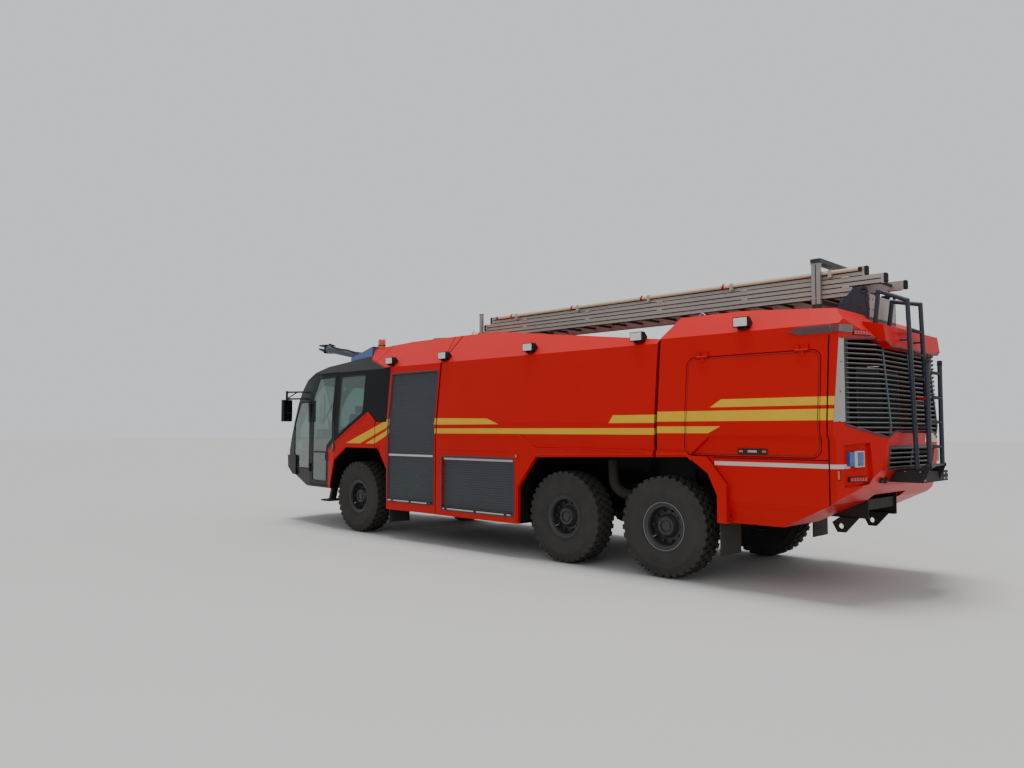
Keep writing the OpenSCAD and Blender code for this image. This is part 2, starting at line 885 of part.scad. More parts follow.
// Blue flashing lamps in the rear corner recesses.
module corner_lamps() color([0.05, 0.15, 0.6]) from_rear_axle() both_sides() difference() {
    intersection() {
        module_form(recess_in - 28);
        block([-2700, 1110, 1420], [-2150, 1290, 1570]);
    }
    module_form(recess_in - seat);
}

// Rear step box with the towing jaw and the ears of the folding ladder.
step_low = 1230;
step_top = 1345;
fold_z = 1420;
fold_pin_r = 15;
ear_t = 10;
ear_gap = 6;
ear_in_y = access_w / 2 + access_r + ear_gap;

module tow_box() color(steel) from_rear_axle() difference() {
    union() {
        block([-2700, -360, step_low], [-2300, 470, step_top]);
        for (y = [access_y - ear_in_y - ear_t, access_y + ear_in_y]) {
            across([[-2700, step_low + 20], [-2600, step_low + 20], [-2600, step_top], [-2735, fold_z + 25],
                [fold_x - 20, fold_z - 20]], y, y + ear_t);
            translate([fold_x, y, fold_z]) rotate([-90, 0, 0]) cylinder(r = fold_ear_r, h = ear_t);
        }
    }
    module_form(-seat);
    translate([fold_x, -500, fold_z]) rotate([-90, 0, 0]) cylinder(r = fold_pin_r + seat, h = 2000);
    translate([-2640, access_y, 1200]) cylinder(r = 25, h = 200);
}

// Roof ladder rack: front gantry, rear gantry, pivot brackets and winch box.
post_y = ladder_w / 2 + 35;
ladder_z = roof_z + 15;
function module_roof_at(x) = module_roof_z + (x > -1000 ? 0 : (x + 1000) * 90 / 1100);

module ladder_rack() color(steel) from_rear_axle() {
    block([wheelbase - 2160, -post_y - 25, roof_z + seat], [wheelbase - 2080, post_y + 25, ladder_z - seat]);
    both_sides() {
        block([wheelbase - 2145, post_y - 20, ladder_z - 5], [wheelbase - 2095, post_y + 20, ladder_z + 405]);
        block([-1580, post_y - 20, module_roof_at(-1480) + seat], [-1480, post_y + 20, ladder_z + 470]);
        block([-1560, post_y - 20, module_roof_at(-1500) + 4],
            [-1500, post_y + 50, module_roof_at(-1500) + 40]);
    }
    block([-1560, -post_y - 20, ladder_z - 45], [-1500, post_y + 20, ladder_z - seat]);
    block([-1590, -post_y - 30, ladder_z + 440], [-1470, post_y + 30, ladder_z + 490]);
    pivot_bracket();
}

// Rear bracket on which the ladder stack tips: two bored side plates and a cross plate.
pivot_r = 22;
pivot_x = -2100;
ladder_pivot_z = ladder_z + 35;
module pivot_bracket() difference() {
    union() {
        both_sides() {
            across([[-1760, 3050], [-1500, module_roof_z - 100], [-1500, module_roof_at(-1500) + 40],
                [-1760, module_roof_at(-1500) + 40], [-1990, ladder_z + 85], [pivot_x, ladder_z + 85],
                [-2150, 3050]], post_y + 30, post_y + 50);
            translate([pivot_x, post_y + 30, ladder_pivot_z]) rotate([-90, 0, 0]) cylinder(r = 50, h = 20);
        }
        block([-2150, -post_y - 40, 3050], [-2130, post_y + 40, ladder_z - 10]);
    }
    module_form(-seat);
    translate([pivot_x, -body_w, ladder_pivot_z]) rotate([-90, 0, 0]) cylinder(r = pivot_r, h = 2 * body_w);
}

// Height from one ladder section to the next
section_step = ladder_rail_h + 10;

// Roof ladder sections, lowest first.
// Columns: half width, underside above the rack, rail height, front end, rear end
section_table = [
    [ladder_w / 2, 0, ladder_rail_h, wheelbase - 2020, -1960],
    [ladder_w / 2 - 20, section_step, ladder_rail_h, wheelbase - 2150, -2310],
    [ladder_w / 2 - 50, 2 * section_step, ladder_rail_h, wheelbase - 2270, -2085]];

module ladder_section(row) translate([0, 0, ladder_z + row[1]]) {
    both_sides() block([row[4], row[0] - ladder_rail_t, 0], [row[3], row[0], row[2]]);
    for (x = [row[4] + 150 : rung_pitch : row[3] - 100])
        translate([x, -row[0] + 5, row[2] / 2]) rotate([-90, 0, 0]) cylinder(r = rung_r, h = 2 * row[0] - 10);
}

pole_y = ladder_w / 2 - 10;
pole_r = 20;
pole_z = ladder_z + 2 * section_step + 75;

module roof_ladder() color(alloy) from_rear_axle() {
    for (row = section_table) ladder_section(row);
    both_sides() {
        for (x = [-1900 : 1300 : 4000], k = [1, 2])
            block([x, ladder_w / 2 - 90, ladder_z + k * section_step - 15],
                [x + 80, ladder_w / 2 - 5, ladder_z + k * section_step + 10]);
        bar([-2040, pole_y, pole_z], [wheelbase - 2470, pole_y, pole_z], pole_r);
        for (x = [-1700 : 1300 : 3800])
            block([x, ladder_w / 2 - 60, pole_z - 60], [x + 40, ladder_w / 2 + 14, pole_z + 30]);
    }
}

turret_z = 3060;
pivot_z = 3200;

module turret_base() color(steel) from_rear_axle() difference() {
    translate([turret_x, 0, 2950]) cylinder(r = 190, h = turret_z - 2950);
    cab_form(-seat);
}

module turret_table() color(steel) from_rear_axle() {
    translate([turret_x, 0, turret_z + seat]) cylinder(r = 170, h = 50);
    both_sides() difference() {
        union() {
            block([turret_x - 60, 85, turret_z + 20], [turret_x + 60, 115, pivot_z]);
            translate([turret_x, 85, pivot_z]) rotate([-90, 0, 0]) cylinder(r = 60, h = 30);
        }
        translate([turret_x, 80, pivot_z]) rotate([-90, 0, 0]) cylinder(r = 25.05, h = 40);
    }
}

// Water and foam barrel with a two-pronged deflector at its tip.
module turret_barrel() color(steel) from_rear_axle()
    translate([turret_x, 0, pivot_z]) rotate([0, -barrel_tilt, 0]) {
        rotate([-90, 0, 0]) translate([0, 0, -118]) cylinder(r = 25, h = 236);
        sphere(r = 80);
        rotate([0, 90, 0]) {
            cylinder(r = barrel_r + 8, h = 420);
            translate([0, 0, 400]) cylinder(r = barrel_r, h = barrel_len - 800);
            translate([0, 0, barrel_len - 420]) cylinder(r = barrel_r + 20, h = 120);
        }
        for (s = [-1, 1])
            block([barrel_len - 330, -30, s > 0 ? 20 : -prong_z], [barrel_len, 30, s > 0 ? prong_z : -20]);
    }

// Blue wedge lamps at the edges of the cab roof, ahead of the red roof
beacon_x = wheelbase + 70 + seat;
module beacons() color([0.05, 0.15, 0.6]) from_rear_axle() both_sides()
    difference() {
        across([[beacon_x, cab_roof_z - 120], [wheelbase + 760, cab_roof_z - 120],
            [wheelbase + 760, cab_roof_z + 20], [beacon_x, cab_roof_z + 195]], 740, 1060);
        cab_form(-seat);
    }

// Amber lamps on the front corners of the red roof.
module roof_markers() color([0.9, 0.45, 0.05]) from_rear_axle() both_sides() difference() {
    translate([wheelbase - 30, crease_half - 475, roof_z - 100]) cylinder(r = 65, h = 205);
    translate([0, 0, seat]) roof_cap();
}

// Scene lamps on the roof slope. Columns: x, crease height
lamp_table = [
    [pillar_x + 40, crease_z], [4110, crease_z], [2240, crease_z], [350, crease_z],
    [-1100, module_crease_z]];

module scene_lamps() color([0.9, 0.9, 0.85]) from_rear_axle() both_sides()
    for (row = lamp_table)
        translate([row[0], crease_half, row[1]]) rotate([-45, 0, 0])
            block([-75, -150, seat], [75, -60, 95]);

// Mirror arm and housing. The arm is two bars with a strut between them.
mirror_r = 17;
mirror_arm_z = [2410, 2545];

module mirrors() color(black) from_rear_axle() both_sides() difference() {
    foot = [a_pillar_x + 150, cab_half - 290, 0];
    tip = [a_pillar_x + 690, cab_half - 10, 0];
    union() {
        for (z = mirror_arm_z) bar(foot + [0, 0, z], tip + [0, 0, z], mirror_r);
        bar(0.4 * foot + 0.6 * tip + [0, 0, mirror_arm_z[1]], tip + [0, 0, mirror_arm_z[0]], mirror_r - 5);
        translate(tip) translate([0, 0, 2300]) cylinder(r = mirror_r + 6, h = mirror_arm_z[1] - 2275);
        translate([0, 0, 1960]) linear_extrude(430)
            round_rect([tip.x - 50, tip.y - 100], [tip.x + 50, tip.y + 110], 45);
    }
    cab_form(-seat);
}

module front_bumper() color(black) from_rear_axle() difference() {
    intersection() {
        cab_form(-35);
        block([nose_x - 700, -body_w, 905], [nose_x + 400, body_w, 1290]);
    }
    cab_form(-seat);
}

lamp_outline = [[560, 1010], [880, 1010], [880, 1130], [560, 1130]];

module headlamps() color([0.95, 0.95, 0.9]) from_rear_axle() both_sides() difference() {
    intersection() {
        cab_form(-47);
        nose_prism(lamp_outline);
    }
    cab_form(-35 - seat);
}

module cab_steps() color(black) from_rear_axle() both_sides() difference() {
    union() {
        across([[wheelbase + 930, 470], [wheelbase + 1190, 470], [wheelbase + 1190, 495],
            [wheelbase + 930, 495]], cab_half - 380, cab_half - 60);
        across([[wheelbase + 1010, 490], [wheelbase + 1080, 490], [wheelbase + 980, 780],
            [wheelbase + 910, 780]], cab_half - 280, cab_half - 160);
    }
    cab_form(-seat);
}

module mudflaps() color(black) from_rear_axle() both_sides() {
    difference() {
        block([pillar_x - 5, wheel_y - 232, 240], [pillar_x + 15, wheel_y + 188, 620]);
        body_form(-seat);
    }
    block([-820 + seat, wheel_y - 252, 350], [-805, wheel_y + 207, 1000]);
}

access_y = 190;
access_x = -2560;

// Hand rail hoops at the head of the ladder. Columns: side, height of the hoop
hoop_table = [[1, module_roof_z + 175], [-1, module_roof_z + 100]];

module access_ladder() color(steel) from_rear_axle() difference() {
    translate([0, access_y, 0]) {
        for (row = hoop_table) {
            y = row[0] * access_w / 2;
            head = [access_x, y, module_roof_z + 35];
            hoop = [-2250, y, row[1]];
            bar([access_x - 60, y, step_top + seat + 1], head, access_r);
            translate(head) sphere(r = access_r + 2);
            bar(head, hoop, access_r);
            translate(hoop) sphere(r = access_r + 2);
            bar(hoop, [-2200, y, module_roof_z - 300], access_r);
            for (z = [1780, 2800]) bar([access_x - 20, y, z], [-2350, y, z], 12);
        }
        for (k = [0 : 5]) bar([access_x - 52 + 9 * k, -access_w / 2, 1560 + 270 * k],
            [access_x - 52 + 9 * k, access_w / 2, 1560 + 270 * k], access_rung_r);
    }
    module_form(-seat);
    hood(seat);
}

module folding_ladder() color(steel) from_rear_axle() translate([fold_x, access_y, 0]) {
    ear_span = ear_in_y + ear_t;
    for (s = [-1, 1]) bar([0, s * access_w / 2, fold_z], [0, s * access_w / 2, fold_z + fold_len], access_r);
    bar([0, -ear_span, fold_z], [0, ear_span, fold_z], fold_pin_r);
    for (k = [0 : 3])
        bar([0, -access_w / 2, fold_z + 200 + 270 * k], [0, access_w / 2, fold_z + 200 + 270 * k],
            access_rung_r);
}

// A regular outline with n corners, turned so that a flat side lies lowest.
function ring_outline(r, n) = [for (i = [0 : n - 1])
    let (a = 360 * (i + 0.5) / n - 90) r / cos(180 / n) * [cos(a), sin(a)]];

// Corners of one tread block and the gap after it. Columns: part of the pitch, radius
lug_corners = [[-0.27, tyre_r], [0.27, tyre_r], [0.34, tyre_r - lug_h], [0.66, tyre_r - lug_h]];

// Outline of one row of tread blocks with a block lowest. turn shifts it by part of the pitch.
function tread_outline(turn) = [for (i = [0 : lug_count - 1], q = lug_corners)
    let (a = 360 * (i + turn + q[0]) / lug_count - 90) q[1] / cos(0.27 * 360 / lug_count) * [cos(a), sin(a)]];

// Tyre drawn about its own centre, with the outer side towards +Y.
module tyre() {
    corners = 20;
    shoulder_r = tyre_r - lug_h - 12;
    side_r = tyre_r - 200;
    lip_r = bead_r + 25;
    half = tyre_w / 2;
    tread = tread_w / 2;
    bead = rim_w / 2;
    rotate([-90, 0, 0]) difference() {
        for (s = [0, 1]) {
            translate([0, 0, (s - 1) * tread]) linear_extrude(tread) polygon(tread_outline((1 - s) / 2));
            mirror([0, 0, 1 - s]) translate([0, 0, tread])
                linear_extrude(half - tread, scale = side_r / shoulder_r)
                    polygon(ring_outline(shoulder_r, corners));
        }
        for (s = [0, 1])
            mirror([0, 0, s]) translate([0, 0, bead])
                linear_extrude(half - bead + 1, scale = (side_r + 2) / lip_r)
                    polygon(ring_outline(lip_r, corners));
        translate([0, 0, -tyre_w]) linear_extrude(2 * tyre_w) polygon(ring_outline(bead_r, corners));
    }
}

// Rim with a deep dished disc, hub cover and wheel nuts.
module rim() {
    outer = bead_r - seat;
    half = rim_w / 2 + seat;
    rotate([-90, 0, 0]) {
        rotate_extrude($fn = 48) polygon([
            [outer - 20, -half - 9], [outer + 20, -half - 9], [outer + 20, -half], [outer, -half],
            [outer, half], [outer + 20, half], [outer + 20, half + 9], [outer - 20, half + 9],
            [outer - 20, disc_in + 16], [150, disc_in + 30], [110, disc_in + 95], [0, disc_in + 100],
            [0, disc_in], [outer - 20, disc_in]]);
        for (k = [0 : 9]) rotate(k * 36) translate([190, 0, disc_in + 10]) cylinder(r = 16, h = 40, $fn = 6);
    }
}

// Puts a wheel piece on its axle. x is the axle's station, s is 1 on the left and -1 on the right.
module on_wheel(x, s) from_rear_axle() scale_side(s) translate([x, wheel_y, tyre_r]) children();

module tyre_front_left() color([0.1, 0.1, 0.1]) on_wheel(wheelbase, 1) tyre();
module tyre_front_right() color([0.1, 0.1, 0.1]) on_wheel(wheelbase, -1) tyre();
module tyre_middle_left() color([0.1, 0.1, 0.1]) on_wheel(bogie_spread, 1) tyre();
module tyre_middle_right() color([0.1, 0.1, 0.1]) on_wheel(bogie_spread, -1) tyre();
module tyre_rear_left() color([0.1, 0.1, 0.1]) on_wheel(0, 1) tyre();
module tyre_rear_right() color([0.1, 0.1, 0.1]) on_wheel(0, -1) tyre();
module rim_front_left() color(steel) on_wheel(wheelbase, 1) rim();
module rim_front_right() color(steel) on_wheel(wheelbase, -1) rim();
module rim_middle_left() color(steel) on_wheel(bogie_spread, 1) rim();
module rim_middle_right() color(steel) on_wheel(bogie_spread, -1) rim();
module rim_rear_left() color(steel) on_wheel(0, 1) rim();
module rim_rear_right() color(steel) on_wheel(0, -1) rim();

// Seats: two in front, two behind. Columns: x of the back rest, y, z of the seat's base
seat_table = [
    [wheelbase + 1320, 480, cab_floor_z], [wheelbase + 1320, -480, cab_floor_z],
    [wheelbase + 60, 560, front_arch_z + wall], [wheelbase + 60, -560, front_arch_z + wall]];

module cab_seats() color([0.12, 0.12, 0.13]) from_rear_axle()
    for (row = seat_table) translate([row[0], row[1], row[2] + seat]) {
        block([60, -200, 0], [440, 200, 300]);
        block([0, -240, 290], [500, 240, 400]);
        across([[-60, 380], [40, 380], [-20, 980], [-110, 980]], -230, 230);
        across([[-120, 970], [-40, 970], [-50, 1130], [-130, 1130]], -130, 130);
    }

module dashboard() color([0.1, 0.1, 0.1]) from_rear_axle()
    across([[nose_x - 620, cab_floor_z + seat], [nose_x - 330, cab_floor_z + seat], [nose_x - 330, 1560],
        [nose_x - 700, 1640], [nose_x - 780, 1560]], -840, 840);

frame_rails();
axle_front();
bogie_axles();
knuckle_left();
knuckle_right();
suspension();
cab_shell();
cab_seats();
dashboard();
windscreen();
side_glass();
door_left();
door_right();
door_glass_left();
door_glass_right();
front_fenders();
body_main();
shutters();
rear_module();
engine_block();
radiator();
rear_grille();
flap_left();
flap_right();
tail_lamps();
ladder_rack();
roof_ladder();
turret_base();
turret_table();
turret_barrel();
beacons();
roof_markers();
corner_lamps();
scene_lamps();
mirrors();
front_bumper();
headlamps();
cab_steps();
mudflaps();
access_ladder();
folding_ladder();
tow_box();
tyre_front_left();
tyre_front_right();
tyre_middle_left();
tyre_middle_right();
tyre_rear_left();
tyre_rear_right();
rim_front_left();
rim_front_right();
rim_middle_left();
rim_middle_right();
rim_rear_left();
rim_rear_right();
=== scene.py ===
"""Dresses the airport fire truck in its paint, glass, rubber and metal.

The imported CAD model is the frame. Each sub-assembly class below builds the pieces that the solids
leave out, such as tread blocks, handles, wipers and lamp lenses, and gives its nodes their finish.
Lengths are in metres. Stations written as `rear` count forward from the rear axle.
"""

import json
import logging
import math
from dataclasses import dataclass
from enum import Enum
from typing import Iterable, Optional, Sequence, Union

import bmesh
import bpy
from mathutils import Matrix, Vector
from mathutils.bvhtree import BVHTree

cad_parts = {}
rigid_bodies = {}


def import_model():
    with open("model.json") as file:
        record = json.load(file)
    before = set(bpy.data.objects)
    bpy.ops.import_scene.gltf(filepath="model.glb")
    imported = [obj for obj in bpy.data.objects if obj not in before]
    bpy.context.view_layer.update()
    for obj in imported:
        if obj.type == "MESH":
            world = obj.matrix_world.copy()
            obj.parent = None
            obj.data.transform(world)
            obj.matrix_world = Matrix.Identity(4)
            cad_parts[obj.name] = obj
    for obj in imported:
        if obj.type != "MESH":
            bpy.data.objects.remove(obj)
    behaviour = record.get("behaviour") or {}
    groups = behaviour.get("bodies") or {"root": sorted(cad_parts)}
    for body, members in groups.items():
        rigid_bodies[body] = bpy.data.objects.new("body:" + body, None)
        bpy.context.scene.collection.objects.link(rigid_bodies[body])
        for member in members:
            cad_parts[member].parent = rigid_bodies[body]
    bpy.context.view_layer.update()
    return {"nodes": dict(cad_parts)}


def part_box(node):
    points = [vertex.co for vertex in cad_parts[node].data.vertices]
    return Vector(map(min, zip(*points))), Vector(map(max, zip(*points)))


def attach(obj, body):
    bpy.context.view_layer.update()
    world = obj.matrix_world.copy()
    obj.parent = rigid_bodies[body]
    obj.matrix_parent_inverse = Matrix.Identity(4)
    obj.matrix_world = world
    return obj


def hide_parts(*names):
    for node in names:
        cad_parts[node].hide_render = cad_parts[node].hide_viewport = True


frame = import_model()

log = logging.getLogger("fire_truck")
Point = Sequence[float]
Outline = Sequence[Sequence[float]]
Colour = tuple[float, float, float]
Value = Union["Sock", float]
Hit = tuple[Vector, Vector]

ORIGIN = (0.0, 0.0, 0.0)
# Profiles that close on their axis keep this distance, so that no face there has zero area
AXIS = 0.0001
# Edges sharper than this stay sharp, and edges sharper than the second angle are rounded
SHARP, ROUNDED = math.radians(38), math.radians(35)
AXLES = (("front", 6.44), ("middle", 1.608), ("rear", 0.0))
# The rear axle's station in the vehicle's frame
REAR_AXLE = (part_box("rim_rear_left")[0][0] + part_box("rim_rear_left")[1][0]) / 2
SIDES = (("left", 1.0), ("right", -1.0))


def at(rear: float, y: float, z: float) -> Vector:
    """Returns the point that is `rear` metres ahead of the rear axle."""
    return Vector((REAR_AXLE + rear, y, z))


# ---------------------------------------------------------------- shader maths

def add_node(tree: bpy.types.NodeTree, kind: str, settings: Optional[dict] = None,
             inputs: Optional[dict] = None) -> bpy.types.Node:
    """Adds one node to a tree of any kind.

    Args:
        tree: The tree.
        kind: The node's type.
        settings: Properties that are set before its sockets.
        inputs: Values, or outputs of other nodes, by socket name or number.

    Returns:
        The node.
    """
    node = tree.nodes.new(kind)
    for key, value in (settings or {}).items():
        setattr(node, key, value)
    for key, value in (inputs or {}).items():
        if isinstance(value, bpy.types.NodeSocket):
            tree.links.new(value, node.inputs[key])
        else:
            node.inputs[key].default_value = value
    return node


class Sock:
    """A number inside a material's nodes. Operators on it add Math nodes."""

    def __init__(self, shader: "Shader", socket: bpy.types.NodeSocket) -> None:
        """Wraps one output socket of the shader's tree."""
        self.shader = shader
        self.socket = socket

    def __add__(self, other: Value) -> "Sock":
        """Adds."""
        return self.shader.math("ADD", self, other)

    def __sub__(self, other: Value) -> "Sock":
        """Subtracts."""
        return self.shader.math("SUBTRACT", self, other)

    def __rsub__(self, other: Value) -> "Sock":
        """Subtracts this from a number."""
        return self.shader.math("SUBTRACT", other, self)

    def __mul__(self, other: Value) -> "Sock":
        """Multiplies."""
        return self.shader.math("MULTIPLY", self, other)

    def __truediv__(self, other: Value) -> "Sock":
        """Divides."""
        return self.shader.math("DIVIDE", self, other)

    def __rtruediv__(self, other: Value) -> "Sock":
        """Divides a number by this."""
        return self.shader.math("DIVIDE", other, self)

    __radd__ = __add__
    __rmul__ = __mul__

    def clamp(self) -> "Sock":
        """Limits the value to 0 and 1."""
        return self.shader.math("MULTIPLY", self, 1.0, clamp=True)

    def size(self) -> "Sock":
        """Returns the absolute value."""
        return self.shader.math("ABSOLUTE", self)

    def above(self, limit: float, soft: float) -> "Sock":
        """Returns 1 above the limit and 0 below, with a soft edge."""
        return ((self - limit) / soft + 0.5).clamp()

    def below(self, limit: float, soft: float) -> "Sock":
        """Returns 1 below the limit and 0 above, with a soft edge."""
        return ((limit - self) / soft + 0.5).clamp()

    def between(self, low: float, high: float, soft: float) -> "Sock":
        """Returns 1 between two limits."""
        return self.above(low, soft) * self.below(high, soft)


class Shader:
    """One material under construction, with its Principled surface and its maths."""

    def __init__(self, name: str) -> None:
        """Starts a material with a Principled surface.

        Args:
            name: The material's name.
        """
        self.material = bpy.data.materials.new(name)
        self.material.use_nodes = True
        self.tree = self.material.node_tree
        self.tree.nodes.clear()
        self.surface = add_node(self.tree, "ShaderNodeBsdfPrincipled")
        add_node(self.tree, "ShaderNodeOutputMaterial", inputs={0: self.surface.outputs[0]})
        self.place = self.node("ShaderNodeTexCoord", output="Object")
        self.x, self.y, self.z = self.split(self.place)
        _, self.across, self.up = self.split(self.node("ShaderNodeNewGeometry", output="Normal"))

    def node(self, kind: str, settings: Optional[dict] = None, inputs: Optional[dict] = None,
             output: Union[int, str] = 0) -> Sock:
        """Adds one node.

        Args:
            kind: The node's type.
            settings: Properties that are set before its sockets.
            inputs: Values or links by socket name or number.
            output: The output that is wanted.

        Returns:
            The wanted output.
        """
        given = {key: value.socket if isinstance(value, Sock) else value
                 for key, value in (inputs or {}).items()}
        return Sock(self, add_node(self.tree, kind, settings, given).outputs[output])

    def split(self, vector: Sock) -> list[Sock]:
        """Returns the three parts of a vector."""
        first = self.node("ShaderNodeSeparateXYZ", inputs={0: vector})
        return [Sock(self, socket) for socket in first.socket.node.outputs]

    def math(self, operation: str, a: Value, b: Value = 0.0, clamp: bool = False) -> Sock:
        """Adds one Math node.

        Args:
            operation: The node's operation.
            a: First value.
            b: Second value.
            clamp: Whether the result is limited to 0 and 1.

        Returns:
            The result.
        """
        return self.node("ShaderNodeMath", {"operation": operation, "use_clamp": clamp},
                         {0: a, 1: b})

    def noise(self, scale: float, detail: float = 2.0, stretch: Point = (1, 1, 1)) -> Sock:
        """Returns noise from 0 to 1.

        Args:
            scale: Blobs in a metre.
            detail: Octaves.
            stretch: Factor on each axis.

        Returns:
            The noise.
        """
        vector = self.node("ShaderNodeVectorMath", {"operation": "MULTIPLY"},
                           {0: self.place, 1: tuple(stretch)})
        return self.node("ShaderNodeTexNoise",
                         inputs={"Vector": vector, "Scale": scale, "Detail": detail})

    def wave(self, axis: str, pitch: float) -> Sock:
        """Returns a wave from 0 to 1 along an axis, with the given pitch."""
        value = {"X": self.x, "Y": self.y, "Z": self.z}[axis]
        return self.math("SINE", value * (2 * math.pi / pitch)) * 0.5 + 0.5

    def mix(self, mask: Value, a: Union[Colour, Sock], b: Union[Colour, Sock]) -> Sock:
        """Mixes two colours.

        Args:
            mask: Share of the second colour.
            a: First colour.
            b: Second colour.

        Returns:
            The mixed colour.
        """
        def full(colour: Union[Colour, Sock]) -> Union[tuple, Sock]:
            """Gives a plain colour its alpha."""
            return colour if isinstance(colour, Sock) else (*colour, 1.0)
        return self.node("ShaderNodeMix", {"data_type": "RGBA"},
                         {0: mask, 6: full(a), 7: full(b)}, output=2)

    def bump(self, height: Value, distance: float) -> None:
        """Feeds a height to the surface's normal.

        Args:
            height: The height, from 0 to 1.
            distance: Depth of the relief.
        """
        normal = self.node("ShaderNodeBump", inputs={"Height": height, "Distance": distance})
        self.tree.links.new(normal.socket, self.surface.inputs["Normal"])

    def set(self, **values: Union[Value, Colour]) -> None:
        """Sets or links inputs of the surface.

        Args:
            values: By input name, with an underscore for each space.
        """
        for key, value in values.items():
            socket = self.surface.inputs[key.replace("_", " ")]
            if isinstance(value, Sock):
                self.tree.links.new(value.socket, socket)
            else:
                socket.default_value = (*value, 1.0) if isinstance(value, tuple) else value


# ---------------------------------------------------------------- finishes

DUST: Colour = (0.27, 0.235, 0.18)


@dataclass(frozen=True)
class Finish:
    """A surface finish with an even colour, soft wear and settled dust."""

    name: str
    colour: Colour
    rough: float = 0.5
    metal: float = 0.0
    coat: float = 0.0
    mottle: float = 0.12
    grain: float = 60.0
    grain_depth: float = 0.0006
    dust: float = 0.25
    dust_top: float = 0.25
    dust_height: float = 1.1
    shine: float = 0.3
    sheen: float = 0.0

    def tint(self, s: Shader) -> Sock:
        """Mottles the colour slightly, before the dust.

        Args:
            s: The shader.

        Returns:
            The colour.
        """
        patches = s.noise(1.7, 4.0)
        fine = s.noise(self.grain * 0.35, 2.0)
        darker = tuple(c * (1 - self.mottle * 1.6) for c in self.colour)
        lighter = tuple(min(1.0, c * (1 + self.mottle)) for c in self.colour)
        return s.mix((patches * 0.7 + fine * 0.3).clamp(), darker, lighter)

    def dirt(self, s: Shader) -> Sock:
        """Finds the share of dust: road film low down and settled dust on top faces.

        Args:
            s: The shader.

        Returns:
            The share, from 0 to 1.
        """
        cloud = s.noise(3.1, 5.0)
        streaks = s.noise(9.0, 3.0, (1.0, 1.0, 0.12))
        low = s.z.below(self.dust_height, self.dust_height) * (cloud * 0.9 + streaks * 0.5 - 0.1)
        top = s.up.above(0.75, 0.4) * cloud
        return (low * self.dust + top * self.dust_top).clamp()

    def relief(self, s: Shader) -> Value:
        """Returns the height of the surface's grain."""
        return s.noise(self.grain, 3.0)

    def build(self) -> bpy.types.Material:
        """Builds the material.

        Returns:
            The material.
        """
        s = Shader(self.name)
        dirt = self.dirt(s)
        s.set(Base_Color=s.mix(dirt, self.tint(s), DUST), Specular_IOR_Level=self.shine,
              Roughness=(s.noise(22.0) * 0.12 + dirt * 0.4 + (self.rough - 0.06)).clamp(),
              Metallic=self.metal * (1.0 - dirt * 0.8) if self.metal else 0.0,
              Sheen_Weight=self.sheen)
        if self.coat:
            s.set(Coat_Weight=self.coat * (1.0 - dirt), Coat_Roughness=0.08)
        s.bump(self.relief(s), self.grain_depth)
        return s.material


@dataclass(frozen=True)
class Band:
    """A painted band on the vehicle's sides: a convex outline, counted from the rear axle."""

    corners: Outline

    def mask(self, s: Shader, x: Sock, soft: float = 0.004) -> Sock:
        """Returns 1 inside the band.

        Args:
            s: The shader.
            x: Station from the rear axle.
            soft: Width of the edge.

        Returns:
            The mask.
        """
        middle = [sum(c[i] for c in self.corners) / len(self.corners) for i in (0, 1)]
        mask: Optional[Sock] = None
        for (x0, z0), (x1, z1) in zip(self.corners, list(self.corners[1:]) + [self.corners[0]]):
            nx, nz = z0 - z1, x1 - x0
            length = math.hypot(nx, nz)
            nx, nz = nx / length, nz / length
            if nx * (middle[0] - x0) + nz * (middle[1] - z0) < 0:
                nx, nz = -nx, -nz
            edge = ((x * nx + s.z * nz - (nx * x0 + nz * z0)) / soft + 0.5).clamp()
            mask = edge if mask is None else mask * edge
        return mask


YELLOW_BANDS = (
    Band(((4.35, 1.88), (4.35, 1.985), (3.02, 1.965), (2.77, 1.88))),
    Band(((4.35, 1.74), (4.35, 1.82), (0.03, 1.82), (0.03, 1.74))),
    Band(((0.745, 1.885), (0.685, 1.985), (0.03, 1.985), (0.03, 1.885))),
    Band(((0.03, 1.76), (0.03, 1.84), (-0.86, 1.84), (-0.70, 1.76))),
    Band(((0.03, 1.90), (0.03, 2.02), (-2.20, 2.02), (-2.20, 1.90))),
    Band(((-0.72, 2.06), (-0.86, 2.15), (-2.20, 2.15), (-2.20, 2.06))),
    Band(((6.71, 1.56), (5.38, 2.00), (5.38, 1.88), (6.28, 1.56))),
    Band(((6.11, 1.56), (5.38, 1.83), (5.38, 1.75), (5.85, 1.56))),
)
# The pale band low on the rear overhang is a painted highlight along the fold of the panel.
FOLD_HIGHLIGHT_BANDS = (Band(((-0.76, 1.395), (-0.76, 1.44), (-2.32, 1.44), (-2.32, 1.395))),)


